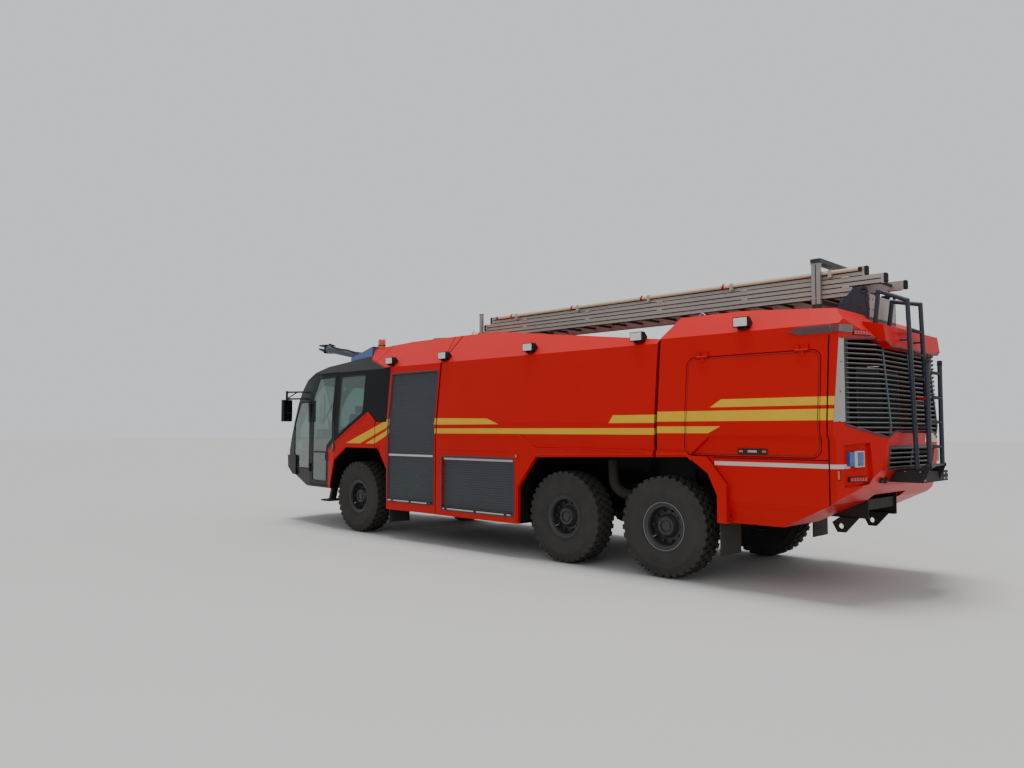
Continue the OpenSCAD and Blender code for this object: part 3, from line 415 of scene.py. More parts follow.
@dataclass(frozen=True)
class BandedPaint(Finish):
    """Gloss body paint with the yellow bands, a pale painted highlight along a fold, the joint
    lines of the roof, a painted highlight on upward faces and painted shade on inner faces.
    """

    yellow: Colour = (0.70, 0.42, 0.035)
    # Colour of the pale painted highlight along the fold
    white: Colour = (0.62, 0.50, 0.47)
    joint: Colour = (0.012, 0.004, 0.004)
    # Near black painted shade on the inner faces of the wheel arches and under the lower panels
    inside: Colour = (0.010, 0.009, 0.009)
    # Height at which the sides turn into the roof's slopes
    crease: float = 2.87
    # Joint lines. Columns: x at the crease, x gained for each metre above it, lowest z, highest z,
    # half width
    joints: tuple = ((4.165, 0.42, 0.45, 3.4, 0.008), (6.17, -0.42, 2.87, 3.4, 0.008),
                     (-2.105, 0.0, 0.98, 2.80, 0.008), (5.84, 0.0, 1.50, 1.95, 0.008),
                     (0.025, 0.0, 1.55, 3.4, 0.020))
    # Level joint lines. Columns: z, lowest x, highest x
    levels: tuple = ((1.480, -2.105, -0.74),)

    def tint(self, s: Shader) -> Sock:
        """Paints the yellow bands, the painted highlight along a fold, the joint lines, a painted
        highlight on upward faces and the painted shade of the inner faces.

        Args:
            s: The shader.

        Returns:
            The colour.
        """
        x = s.x - REAR_AXLE
        side = s.y.size().above(1.25, 0.02)
        # Upward faces are mixed up to 35 % towards a lighter red: a painted highlight on the tops
        # and roof slopes.
        painted_top_light = s.up.above(0.45, 0.6) * 0.35
        colour = s.mix(painted_top_light, Finish.tint(self, s),
                       tuple(min(1.0, c * 1.25 + 0.015) for c in self.colour))
        # This noise breaks up both the worn yellow bands and the painted highlight along the fold.
        wear = s.noise(34.0, 4.0).above(0.30, 0.08)
        # The yellow bands are paint; the white bands are a painted highlight along a fold.
        for bands, paint in ((YELLOW_BANDS, self.yellow), (FOLD_HIGHLIGHT_BANDS, self.white)):
            mask: Value = 0.0
            for band in bands:
                mask = s.math("MAXIMUM", mask, band.mask(s, x))
            tone = s.mix(s.noise(5.0, 3.0), tuple(c * 0.85 for c in paint), paint)
            colour = s.mix(mask * side * (wear * 0.25 + 0.75), colour, tone)
        for station, slope, low, high, half in self.joints:
            lean = (s.z - self.crease).above(0.0, 0.02) * (s.z - self.crease) * slope
            line = (x - station - lean).size().below(half, 0.004) * s.z.between(low, high, 0.02)
            colour = s.mix(line, colour, self.joint)
        for level, low, high in self.levels:
            line = (s.z - level).size().below(0.006, 0.004) * x.between(low, high, 0.01)
            colour = s.mix(line * side, colour, self.joint)
        # Painted shade on faces that turn away from the side or lie deep under the body.
        return s.mix(self.shaded_faces(s, x), colour, self.inside)

    def shaded_faces(self, s: Shader, x: Sock) -> Sock:
        """Finds the inner faces of the wheel arches and of the lower panels, which get near black
        painted shade.

        Args:
            s: The shader.
            x: Station from the rear axle.

        Returns:
            1 on those faces and 0 elsewhere.
        """
        outwards = (s.across * s.math("SIGN", s.y)).above(0.3, 0.1)
        deep = s.y.size().below(1.36, 0.01) * x.below(5.2, 0.05)
        edge = (1.0 - outwards) * s.y.size().below(1.472, 0.004)
        return s.math("MAXIMUM", deep, edge) * s.z.below(1.75, 0.02) * x.above(-0.93, 0.02)


@dataclass(frozen=True)
class Glass:
    """Tinted cab glass with a light film of dust."""

    name: str
    tint: Colour
    clear: float = 0.92

    def build(self) -> bpy.types.Material:
        """Builds the material.

        Returns:
            The material.
        """
        s = Shader(self.name)
        film = s.noise(4.0, 4.0).above(0.5, 0.6)
        s.set(Base_Color=s.mix(film * 0.06, self.tint, DUST), Roughness=film * 0.05 + 0.01,
              Transmission_Weight=self.clear, IOR=1.45, Coat_Weight=0.3, Coat_Roughness=0.02)
        return s.material


@dataclass(frozen=True)
class Lens:
    """A lamp lens with fine ribs behind its face."""

    name: str
    colour: Colour
    glow: float = 0.0
    pitch: float = 0.012
    axis: str = "Z"

    def build(self) -> bpy.types.Material:
        """Builds the material.

        Returns:
            The material.
        """
        s = Shader(self.name)
        ribs = s.wave(self.axis, self.pitch)
        shade = s.noise(25.0, 2.0)
        deep = tuple(c * 0.55 for c in self.colour)
        s.set(Base_Color=s.mix((ribs * 0.5 + shade * 0.5).clamp(), deep, self.colour),
              Roughness=shade * 0.1 + 0.06, Coat_Weight=0.8, Coat_Roughness=0.03)
        if self.glow:
            s.set(Emission_Color=self.colour, Emission_Strength=self.glow)
        s.bump(ribs, 0.0008)
        return s.material


@dataclass(frozen=True)
class Slatted(Finish):
    """A finish whose surface has ribs across one axis."""

    axis: str = "Z"
    pitch: float = 0.064

    def relief(self, s: Shader) -> Value:
        """Returns the ribs with the finish's own grain."""
        return s.wave(self.axis, self.pitch) + Finish.relief(self, s) * 0.15


@dataclass(frozen=True)
class Rubber(Finish):
    """Tyre rubber: dusty tread and side walls."""

    def dirt(self, s: Shader) -> Sock:
        """Returns the dust in blotches of two sizes."""
        cloud = s.noise(7.0, 5.0)
        return (cloud * 0.55 + s.noise(40.0, 3.0) * 0.3 - 0.12).clamp() * self.dust


@dataclass(frozen=True)
class Cloth(Finish):
    """Woven seat cloth."""

    thread: float = 0.004

    def relief(self, s: Shader) -> Value:
        """Returns the weave's height."""
        across = s.wave("Y", self.thread) * s.wave("Z", self.thread * 0.5)
        return across + s.wave("X", self.thread) * 0.6


@dataclass(frozen=True)
class SlatPaint(Finish):
    """Pale slats with a painted highlight on their upper edges and painted shade below and behind
    them.
    """

    pitch: float = 0.052
    # Height between the two outlets, and the height at which the slats of each start
    parting: float = 1.69
    upper: float = 1.758
    lower: float = 1.378

    def tint(self, s: Shader) -> Sock:
        """Leaves the colour pale on the upper edge of each slat as a painted highlight, and paints
        shade elsewhere.

        Args:
            s: The shader.

        Returns:
            The colour.
        """
        # The highlight is a band on each slat's upper edge; all else is painted shade at 7 % of the
        # colour.
        high, low = (s.math("FRACT", (s.z - start) / self.pitch).between(0.30, 0.44, 0.06)
                     for start in (self.upper, self.lower))
        mask = high * s.z.above(self.parting, 0.002) + low * s.z.below(self.parting, 0.002)
        return s.mix(mask, tuple(c * 0.07 for c in self.colour), Finish.tint(self, s))


@dataclass(frozen=True)
class Tread(Finish):
    """Tread plate with raised slanting studs."""

    pitch: float = 0.05

    def relief(self, s: Shader) -> Value:
        """Finds the height of the studs.

        Args:
            s: The shader.

        Returns:
            The height, from 0 to 1.
        """
        ups, downs = (s.math("SINE", way * (2 * math.pi / self.pitch))
                      for way in (s.x + s.y, s.x - s.y))
        return (ups * downs).size().above(0.45, 0.3)


class Paint(Enum):
    """The finishes of the truck by their maker's names."""

    RED = BandedPaint("red_paint", (0.52, 0.0085, 0.0085), rough=0.34, coat=0.05, mottle=0.05,
                      grain=400.0, grain_depth=0.0001, dust=0.05, dust_top=0.03, dust_height=0.8,
                      shine=0.07)
    BLACK = Finish("black_panel", (0.0075, 0.0080, 0.0095), rough=0.30, coat=0.0, mottle=0.06,
                   grain=380.0, grain_depth=0.0, dust=0.02, dust_top=0.01, shine=0.12)
    GLASS = Glass("window_glass", (0.30, 0.45, 0.42))
    STEEL = Finish("chassis_steel", (0.016, 0.0155, 0.015), rough=0.62, mottle=0.35, grain=90.0,
                   dust=0.10, dust_top=0.10, dust_height=1.6, shine=0.2)
    GREY = Finish("grey_paint", (0.036, 0.042, 0.056), rough=0.46, coat=0.05, mottle=0.15,
                  grain=220.0, grain_depth=0.0002, dust=0.06, dust_top=0.08, shine=0.25)
    SHUTTER = Finish("shutter_alloy", (0.047, 0.052, 0.062), rough=0.50, mottle=0.10, grain=200.0,
                     grain_depth=0.0002, dust=0.06, dust_height=1.0, shine=0.22)
    LADDER = Finish("ladder_alloy", (0.42, 0.395, 0.355), rough=0.50, metal=0.15, mottle=0.16,
                    grain=120.0, grain_depth=0.0002, dust=0.1, dust_top=0.12)
    BRIGHT = Finish("bright_alloy", (0.50, 0.49, 0.46), rough=0.34, metal=0.6, mottle=0.08,
                    grain=260.0, grain_depth=0.0001, dust=0.2)
    GRILLE = SlatPaint("grille_alloy", (0.22, 0.215, 0.21), rough=0.5, metal=0.1, mottle=0.1,
                       grain=200.0, grain_depth=0.0002, dust=0.05, dust_top=0.05, shine=0.2)
    PROFILE = Finish("profile_alloy", (0.33, 0.32, 0.30), rough=0.42, metal=0.4, mottle=0.1,
                     grain=200.0, grain_depth=0.0002, dust=0.1)
    BLUEGREY = Finish("blue_grey_alloy", (0.075, 0.095, 0.115), rough=0.42, metal=0.2, mottle=0.1,
                      grain=200.0, grain_depth=0.0002, dust=0.1)
    CREAM = Finish("cream_paint", (0.60, 0.52, 0.37), rough=0.5, mottle=0.12, grain=200.0,
                   grain_depth=0.0002, dust=0.1)
    CORE = Slatted("radiator_alloy", (0.020, 0.020, 0.021), rough=0.6, metal=0.3, dust=0.1,
                   dust_height=3.0, pitch=0.008, grain_depth=0.003, axis="Y")
    IRON = Finish("engine_iron", (0.045, 0.045, 0.047), rough=0.7, mottle=0.35, grain=120.0,
                  grain_depth=0.0012, dust=0.15, dust_height=2.0)
    RIM = Finish("rim_paint", (0.028, 0.028, 0.031), rough=0.36, mottle=0.2, grain=160.0,
                 grain_depth=0.0003, dust=0.05, dust_height=2.0, dust_top=0.05, shine=0.4)
    TYRE = Rubber("tyre_rubber", (0.038, 0.037, 0.036), rough=0.82, mottle=0.25, grain=140.0,
                  grain_depth=0.0008, dust=0.16, shine=0.15)
    FLAP = Finish("flap_rubber", (0.034, 0.033, 0.031), rough=0.75, mottle=0.2, grain=120.0,
                  dust=0.12, dust_height=1.2, shine=0.15)
    PLASTIC = Finish("dark_plastic", (0.017, 0.018, 0.020), rough=0.5, mottle=0.15, grain=700.0,
                     grain_depth=0.0002, dust=0.05, dust_top=0.06, shine=0.25)
    CLOTH = Cloth("seat_fabric", (0.035, 0.037, 0.042), rough=0.9, mottle=0.15, dust=0.0,
                  dust_top=0.1, grain_depth=0.0006, sheen=0.4)
    LAMP = Lens("lamp_white", (0.86, 0.83, 0.78), axis="X")
    RED_LENS = Lens("red_lens", (0.70, 0.010, 0.008), glow=0.45)
    SMOKED = Lens("smoked_lens", (0.085, 0.022, 0.022))
    BLUE_LENS = Lens("blue_lens", (0.03, 0.10, 0.36), glow=0.03)
    AMBER = Lens("amber_lens", (0.66, 0.11, 0.012), glow=0.03)
    STRIP = Finish("strip_alloy", (0.52, 0.51, 0.49), rough=0.5, mottle=0.08, grain=300.0,
                   grain_depth=0.0001, dust=0.1)
    PLATE = Finish("plate_alloy", (0.36, 0.335, 0.305), rough=0.5, metal=0.1, mottle=0.14,
                   grain=160.0, grain_depth=0.0002, dust=0.1)
    TREAD = Tread("tread_plate", (0.06, 0.06, 0.06), rough=0.5, metal=0.4, mottle=0.2, dust=0.1,
                  dust_top=0.1)
    RUST = Finish("hot_iron", (0.10, 0.055, 0.035), rough=0.75, mottle=0.4, grain=90.0, dust=0.2,
                  dust_height=2.0)
    BELT = Finish("belt_webbing", (0.42, 0.05, 0.03), rough=0.85, mottle=0.1, grain=500.0, dust=0.0)
    AMBER_PAINT = Finish("tank_paint", (0.55, 0.40, 0.03), rough=0.4, mottle=0.1, grain=300.0,
                         grain_depth=0.0001, dust=0.0)
    SCREEN = Finish("screen_glass", (0.012, 0.016, 0.020), rough=0.12, coat=0.6, mottle=0.1,
                    dust=0.0, grain_depth=0.0)
    MIRROR = Finish("mirror_glass", (0.05, 0.055, 0.06), rough=0.06, metal=1.0, mottle=0.0,
                    dust=0.0, dust_top=0.0, grain_depth=0.0)


class PaintShop:
    """Mixes each finish once and hands it out."""

    def __init__(self) -> None:
        """Starts with no finish mixed."""
        self.mixed: dict[Paint, bpy.types.Material] = {}

    def get(self, paint: Paint) -> bpy.types.Material:
        """Mixes a finish when it is first asked for.

        Args:
            paint: The finish.

        Returns:
            Its material.
        """
        if paint not in self.mixed:
            self.mixed[paint] = paint.value.build()
        return self.mixed[paint]

    def dress(self, node: str, paint: Paint) -> None:
        """Gives a CAD node its finish.

        Args:
            node: The node's name.
            paint: The finish.
        """
        mesh = frame["nodes"][node].data
        mesh.materials.clear()
        mesh.materials.append(self.get(paint))
        log.info("%s is dressed in %s", node, paint.value.name)


SHOP = PaintShop()


# ---------------------------------------------------------------- building

def loft(bm: bmesh.types.BMesh, rings: Sequence[Sequence[bmesh.types.BMVert]],
         loop: bool = False) -> None:
    """Skins a row of rings that have equal numbers of points.

    Args:
        bm: The mesh under construction.
        rings: The rings in order.
        loop: Whether the last ring joins the first. If not, both ends are capped.
    """
    count = len(rings[0])
    for r0, r1 in zip(rings, [*rings[1:], rings[0]] if loop else rings[1:]):
        for k in range(count):
            bm.faces.new((r0[k], r0[(k + 1) % count], r1[(k + 1) % count], r1[k]))
    if not loop:
        bm.faces.new(rings[0][::-1])
        bm.faces.new(rings[-1])


def rect(x0: float, y0: float, x1: float, y1: float) -> list[tuple[float, float]]:
    """Returns the corners of a rectangle."""
    return [(x0, y0), (x1, y0), (x1, y1), (x0, y1)]


def circle(count: int, start: float = 0.0) -> list[tuple[float, float]]:
    """Returns cosine and sine of equal steps round a turn."""
    turns = (start + 2 * math.pi * k / count for k in range(count))
    return [(math.cos(t), math.sin(t)) for t in turns]


def sideways(axis: Vector) -> Vector:
    """Returns a direction square to an axis."""
    return axis.cross(Vector((0, 0, 1)) if abs(axis.z) < 0.9 else Vector((1, 0, 0))).normalized()


def to_mesh(bm: bmesh.types.BMesh, name: str) -> bpy.types.Mesh:
    """Turns a finished BMesh into a mesh.

    Args:
        bm: The BMesh, which is freed.
        name: The mesh's name.

    Returns:
        The mesh.
    """
    mesh = bpy.data.meshes.new(name)
    bm.to_mesh(mesh)
    bm.free()
    return mesh


def put(name: str, data: Optional[bpy.types.ID]) -> bpy.types.Object:
    """Puts a new object into the scene.

    Args:
        name: The object's name.
        data: Its mesh, lamp or camera.

    Returns:
        The object.
    """
    piece = bpy.data.objects.new(name, data)
    bpy.context.scene.collection.objects.link(piece)
    return piece


class Builder:
    """Gathers the bodies of one piece and finishes it as one object."""

    def __init__(self, name: str, body: str, paint: Paint, slot: Optional[str] = None) -> None:
        """Starts an empty piece.

        Args:
            name: The piece's name.
            body: The CAD body that it rides on.
            paint: Its finish.
            slot: The record's material slot, by default the finish's own name. It is kept but not
                used.
        """
        self.name, self.body, self.paint = name, body, paint
        self.slot = slot or paint.value.name
        self.bm = bmesh.new()

    def box(self, low: Point, high: Point, origin: Point = ORIGIN) -> None:
        """Adds a block.

        Args:
            low: One corner.
            high: The opposite corner.
            origin: Where the corners are counted from.
        """
        a, b = Vector(origin) + Vector(low), Vector(origin) + Vector(high)
        for v in bmesh.ops.create_cube(self.bm, size=1.0)["verts"]:
            v.co = Vector([min(p, q) + (c + 0.5) * abs(q - p) for p, q, c in zip(a, b, v.co)])

    def tube(self, path: Sequence[Point], radius: float, sides: int = 12, flat: float = 1.0,
             origin: Point = ORIGIN) -> None:
        """Adds a bar that follows a path.

        Args:
            path: The points of its middle line.
            radius: Its radius.
            sides: Number of its sides.
            flat: Factor on its second radius.
            origin: Where the points are counted from.
        """
        points = [Vector(origin) + Vector(p) for p in path]
        rings = []
        side = None
        for i, p in enumerate(points):
            along = (points[min(i + 1, len(points) - 1)] - points[max(i - 1, 0)]).normalized()
            if side is None:
                side = sideways(along)
            else:
                side = (side - along * side.dot(along)).normalized()
            up = along.cross(side)
            rings.append([self.bm.verts.new(p + side * radius * c + up * radius * flat * s)
                          for c, s in circle(sides)])
        loft(self.bm, rings)

    def prism(self, outline: Outline, axis: int, low: float, high: float) -> None:
        """Adds an extruded outline.

        Args:
            outline: Corners in the plane of the two other axes, in their order.
            axis: 0, 1 or 2 for the direction of the extrusion.
            low: One end.
            high: The other end.
        """
        rings = []
        for level in (low, high):
            points = [list(corner) for corner in outline]
            for point in points:
                point.insert(axis, level)
            rings.append([self.bm.verts.new(point) for point in points])
        loft(self.bm, rings)

    def spin(self, profile: Outline, centre: Point, axis: int = 1, steps: int = 64) -> None:
        """Adds a turned body.

        Args:
            profile: Points of radius and distance along the axis, as a loop.
            centre: Where the axis passes.
            axis: Direction of the axis.
            steps: Steps round the turn.
        """
        first, second = (i for i in range(3) if i != axis)
        rings = []
        for c, s in circle(steps):
            ring = []
            for radius, distance in profile:
                point = list(centre)
                point[first] += radius * c
                point[second] += radius * s
                point[axis] += distance
                ring.append(self.bm.verts.new(point))
            rings.append(ring)
        loft(self.bm, rings, loop=True)

    def move(self, matrix: Matrix) -> None:
        """Moves all that was added so far."""
        bmesh.ops.transform(self.bm, matrix=matrix, verts=self.bm.verts)

    def finish(self, bevel: float = 0.0, subdivide: int = 0,
               replaces: Iterable[str] = ()) -> bpy.types.Object:
        """Turns the gathered bodies into a piece that rides on its body.

        Args:
            bevel: Width of the rounded edges.
            subdivide: Levels of subdivision.
            replaces: CAD nodes that the piece stands for.

        Returns:
            The finished piece.
        """
        bmesh.ops.remove_doubles(self.bm, verts=self.bm.verts, dist=1e-6)
        bmesh.ops.recalc_face_normals(self.bm, faces=self.bm.faces)
        mesh = to_mesh(self.bm, self.name)
        piece = put(self.name, mesh)
        mesh.materials.append(SHOP.get(self.paint))
        mesh.shade_smooth()
        mesh.set_sharp_from_angle(angle=SHARP)
        if bevel:
            rounding = piece.modifiers.new("Rounded", "BEVEL")
            rounding.width, rounding.segments, rounding.limit_method = bevel, 2, "ANGLE"
            rounding.angle_limit = ROUNDED
            rounding.harden_normals = True
        if subdivide:
            fine = piece.modifiers.new("Fine", "SUBSURF")
            fine.levels = fine.render_levels = subdivide
        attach(piece, self.body)
        if replaces:
            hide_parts(*replaces)
        log.info("%s rides on %s", piece.name, self.body)
        return piece


class Repeat:
    """Geometry Nodes that repeat a small form in a row or round an axis."""

    def __init__(self, name: str) -> None:
        """Builds the tree with its named sizes.

        Args:
            name: The tree's name.
        """
        tree = self.tree = bpy.data.node_groups.new(name, "GeometryNodeTree")
        face = tree.interface
        self.ids = {}
        for label, kind in (("Form", "Geometry"), ("Count", "Int"), ("Step", "Vector"),
                            ("Turn", "Vector"), ("Place", "Vector"), ("Finish", "Material")):
            self.ids[label] = face.new_socket(label, in_out="INPUT",
                                              socket_type="NodeSocket" + kind).identifier
        face.new_socket("Row", in_out="OUTPUT", socket_type="NodeSocketGeometry")
        given = add_node(tree, "NodeGroupInput").outputs
        index = add_node(tree, "GeometryNodeInputIndex").outputs[0]
        line = add_node(tree, "GeometryNodeMeshLine", {"mode": "OFFSET"},
                        {"Count": given["Count"], "Offset": given["Step"]})
        turn = add_node(tree, "ShaderNodeVectorMath", {"operation": "SCALE"},
                        {0: given["Turn"], "Scale": index})
        place = add_node(tree, "GeometryNodeInstanceOnPoints", inputs={
            "Points": line.outputs[0], "Instance": given["Form"], "Rotation": turn.outputs[0]})
        real = add_node(tree, "GeometryNodeRealizeInstances", inputs={0: place.outputs[0]})
        shift = add_node(tree, "GeometryNodeTransform", inputs={
            "Geometry": real.outputs[0], "Translation": given["Place"]})
        finish = add_node(tree, "GeometryNodeSetMaterial", inputs={
            "Geometry": shift.outputs[0], "Material": given["Finish"]})
        add_node(tree, "NodeGroupOutput", inputs={0: finish.outputs[0]})

    def run(self, form: Builder, count: int, step: Point = ORIGIN, turn: Point = ORIGIN,
            place: Point = ORIGIN) -> bpy.types.Mesh:
        """Repeats a form.

        Args:
            form: The form, drawn about the origin.
            count: How many there are.
            step: Distance from one to the next.
            turn: Rotation from one to the next.
            place: Where the first one stands.

        Returns:
            The mesh of all of them.
        """
        bmesh.ops.recalc_face_normals(form.bm, faces=form.bm.faces)
        holder = put(form.name + "_form", to_mesh(form.bm, form.name))
        modifier = holder.modifiers.new("Repeat", "NODES")
        modifier.node_group = self.tree
        for label, value in (("Count", count), ("Step", tuple(step)), ("Turn", tuple(turn)),
                             ("Place", tuple(place)), ("Finish", SHOP.get(form.paint))):
            modifier[self.ids[label]] = value
        graph = bpy.context.evaluated_depsgraph_get()
        result = bpy.data.meshes.new_from_object(holder.evaluated_get(graph))
        holder.modifiers.remove(modifier)
        bpy.data.objects.remove(holder)
        return result


REPEAT = Repeat("repeat_form")


def join(name: str, body: str, paint: Paint, meshes: Iterable[bpy.types.Mesh], bevel: float = 0.0,
         replaces: Iterable[str] = (), slot: Optional[str] = None) -> bpy.types.Object:
    """Joins meshes into one piece.

    Args:
        name: The piece's name.
        body: The CAD body that it rides on.
        paint: Its finish.
        meshes: What it is made of.
        bevel: Width of the rounded edges.
        replaces: CAD nodes that the piece stands for.
        slot: The record's material slot. It is passed on but not used.

    Returns:
        The finished piece.
    """
    builder = Builder(name, body, paint, slot)
    for mesh in meshes:
        builder.bm.from_mesh(mesh)
    return builder.finish(bevel=bevel, replaces=replaces)


# ---------------------------------------------------------------- wheels

@dataclass
class Tyre:
    """A cross-country tyre: smooth side walls with rings and four rows of slanting tread blocks."""

    axle: str
    side: str
    sign: float
    radius: float = 0.6195
    half: float = 0.1865
    bead: float = 0.263
    blocks: int = 36
    depth: float = 0.026

    def profile(self) -> list[tuple[float, float]]:
        """Draws the tyre's section.

        Returns:
            A closed outline. Columns: radius, distance outwards from the middle.
        """
        r, h, b = self.radius, self.half, self.bead
        floor = r - self.depth
        outer = [(floor, 0.0), (floor, 0.09), (r - 0.024, 0.138), (r - 0.026, 0.158),
                 (r - 0.060, 0.176), (r - 0.115, h - 0.003), (r - 0.120, h), (r - 0.127, h),
                 (r - 0.132, h - 0.003), (r - 0.175, h - 0.001), (r - 0.215, h - 0.006),
                 (r - 0.255, h - 0.018), (b + 0.052, h - 0.033), (b + 0.046, h - 0.029),
                 (b + 0.036, h - 0.030), (b + 0.030, h - 0.040), (b + 0.012, 0.143),
                 (b + 0.001, 0.134), (b, 0.120), (b, 0.0)]
        return outer + [(radius, -out) for radius, out in outer[-2:0:-1]]

    def block(self, builder: Builder, centre: Vector, angle: float, outline: Outline,
              low: float) -> None:
        """Adds one tread block.

        Args:
            builder: The piece under construction.
            centre: The wheel's centre.
            angle: Where the block stands round the wheel.
            outline: Corners. Columns: arc length, distance outwards.
            low: Radius of the block's foot at its outer edge.
        """
        tread = (self.radius - 0.045, 1.0), (self.radius, 0.94)
        shoulder = (low, 1.0), (self.radius - 0.007, 0.985)
        rings = []
        for level, shrink in enumerate((1.0, 0.94)):
            ring = []
            for arc, out in outline:
                radius, across = (shoulder if abs(out) > 0.14 else tread)[level]
                t = angle + arc * shrink / self.radius
                ring.append(builder.bm.verts.new(centre + Vector(
                    (radius * math.cos(t), out * across, radius * math.sin(t)))))
            rings.append(ring)
        loft(builder.bm, rings)

    def build(self) -> None:
        """Builds the tyre in place of the CAD one."""
        node = f"tyre_{self.axle}_{self.side}"
        low, high = map(Vector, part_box(node))
        centre = (low + high) / 2
        piece = Builder(f"tread_{self.axle}_{self.side}", f"wheel_{self.axle}_{self.side}",
                        Paint.TYRE)
        piece.spin(self.profile(), centre, 1, 96)
        step = 2 * math.pi / self.blocks
        half = math.pi * self.radius / self.blocks
        for k in range(self.blocks):
            turn = step * (k + 0.5) - math.pi / 2
            for s in (1, -1):
                shoulder = [(-half * 0.62, s * 0.088), (half * 0.30, s * 0.096),
                            (half * 0.66, s * 0.158), (half * 0.60, s * 0.170),
                            (-half * 0.60, s * 0.170), (-half * 0.66, s * 0.158)]
                self.block(piece, centre, turn + (step / 2 if s < 0 else 0), shoulder,
                           self.radius - 0.088)
                inner = [(-half * 0.72, s * 0.006), (half * 0.46, s * 0.006),
                         (half * 0.84, s * 0.040), (half * 0.56, s * 0.082),
                         (-half * 0.52, s * 0.074), (-half * 0.40, s * 0.040)]
                self.block(piece, centre, turn + step / 2 + (step / 2 if s < 0 else 0), inner,
                           self.radius - 0.05)
        piece.finish(replaces=(node,))


@dataclass
class WheelTrim:
    """Nut caps, locking ring, valve and hub bolts on one rim."""

    axle: str
    side: str
    sign: float
    flange: float = 0.020

    def build(self) -> None:
        """Builds the pieces of one wheel."""
        low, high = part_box(f"rim_{self.axle}_{self.side}")
        x, z = (low[0] + high[0]) / 2, (low[2] + high[2]) / 2
        body, sign = f"wheel_{self.axle}_{self.side}", self.sign
        face = (high if sign > 0 else low)[1]
        nuts = nut_row(body, Paint.RIM, (0.017, 0.030), sign, 10, (x, face - sign * 0.074, z), 0.19)
        bolts = nut_row(body, Paint.RIM, (0.007, 0.010), sign, 8, (x, face - sign * 0.030, z),
                        0.088)
        lip = face - sign * 0.012
        ring = Builder("ring", body, Paint.RIM)
        ring.spin([(0.242, 0.0), (0.252, 0.010), (0.262, 0.006), (0.262, -0.012), (0.242, -0.012)],
                  (x, lip, z), 1, 64)
        flange = [(0.236, -0.030), (0.262, -0.004), (0.284, 0.010), (0.291, 0.012), (0.294, 0.007),
                  (0.290, -0.004), (0.264, -0.018), (0.236, -0.044)]
        ring.spin([(r, sign * d) for r, d in flange], (x, lip + sign * self.flange, z), 1, 72)
        ring.spin([(0.060, 0.0), (0.072, 0.006), (0.072, 0.016), (0.064, 0.022)],
                  (x, face - sign * 0.034, z), 1, 40)
        join(f"wheel_trim_{self.axle}_{self.side}", body, Paint.RIM,
             (nuts, bolts, to_mesh(ring.bm, "ring")))
        # The rear rims get a bright alloy ring on the flange's edge, a painted highlight where the
        # light catches them.
        if self.axle == "rear":
            edge = Builder(f"rim_edge_{self.axle}_{self.side}", body, Paint.PROFILE, "rim_paint")
            edge.spin([(0.2895, 0.0), (0.2925, 0.0015), (0.2950, 0.0), (0.2950, -0.004),
                       (0.2895, -0.004)], (x, lip + sign * (self.flange + 0.0125), z), 1, 72)
            edge.finish()
        valve = Builder(f"valve_{self.axle}_{self.side}", body, Paint.BRIGHT, "rim_paint")
        valve.tube([(0.165, 0.0, -0.13), (0.160, sign * 0.05, -0.125),
                    (0.176, sign * 0.082, -0.139)],
                   0.0055, 8, origin=(x, face - sign * 0.097, z))
        valve.finish()


def nut_row(body: str, paint: Paint, size: tuple[float, float], sign: float, count: int,
            place: Point, ring: float = 0.0, step: Point = ORIGIN) -> bpy.types.Mesh:
    """Repeats a domed hexagon nut along Y, in a ring or in a row.

    Args:
        body: The CAD body that it rides on.
        paint: Its finish.
        size: Half its width, and its height.
        sign: The way it points.
        count: How many there are.
        place: Middle of the ring, or the first nut of the row.
        ring: Radius of the ring, or 0 for a row.
        step: Distance from one nut of a row to the next.

    Returns:
        The mesh of all of them.
    """
    nut = Builder("nut", body, paint)
    radius, height = size
    loft(nut.bm, [[nut.bm.verts.new((radius * scale * c, sign * height * level, radius * scale * s))
                   for c, s in circle(6)]
                  for scale, level in ((1.0, 0.0), (1.0, 0.6), (0.8, 0.72), (0.66, 0.72),
                                       (0.5, 0.95), (0.2, 1.0))])
    nut.move(Matrix.Translation((ring, 0, 0)))
    turn = (0, 2 * math.pi / count, 0) if ring else ORIGIN
    return REPEAT.run(nut, count, step, turn, place)


@dataclass
class Wheels:
    """All six wheels."""

    def build(self) -> None:
        """Builds the tyres and the trim of each wheel."""
        for axle, _ in AXLES:
            for side, sign in SIDES:
                Tyre(axle, side, sign).build()
                WheelTrim(axle, side, sign).build()


# ---------------------------------------------------------------- surfaces of the CAD model

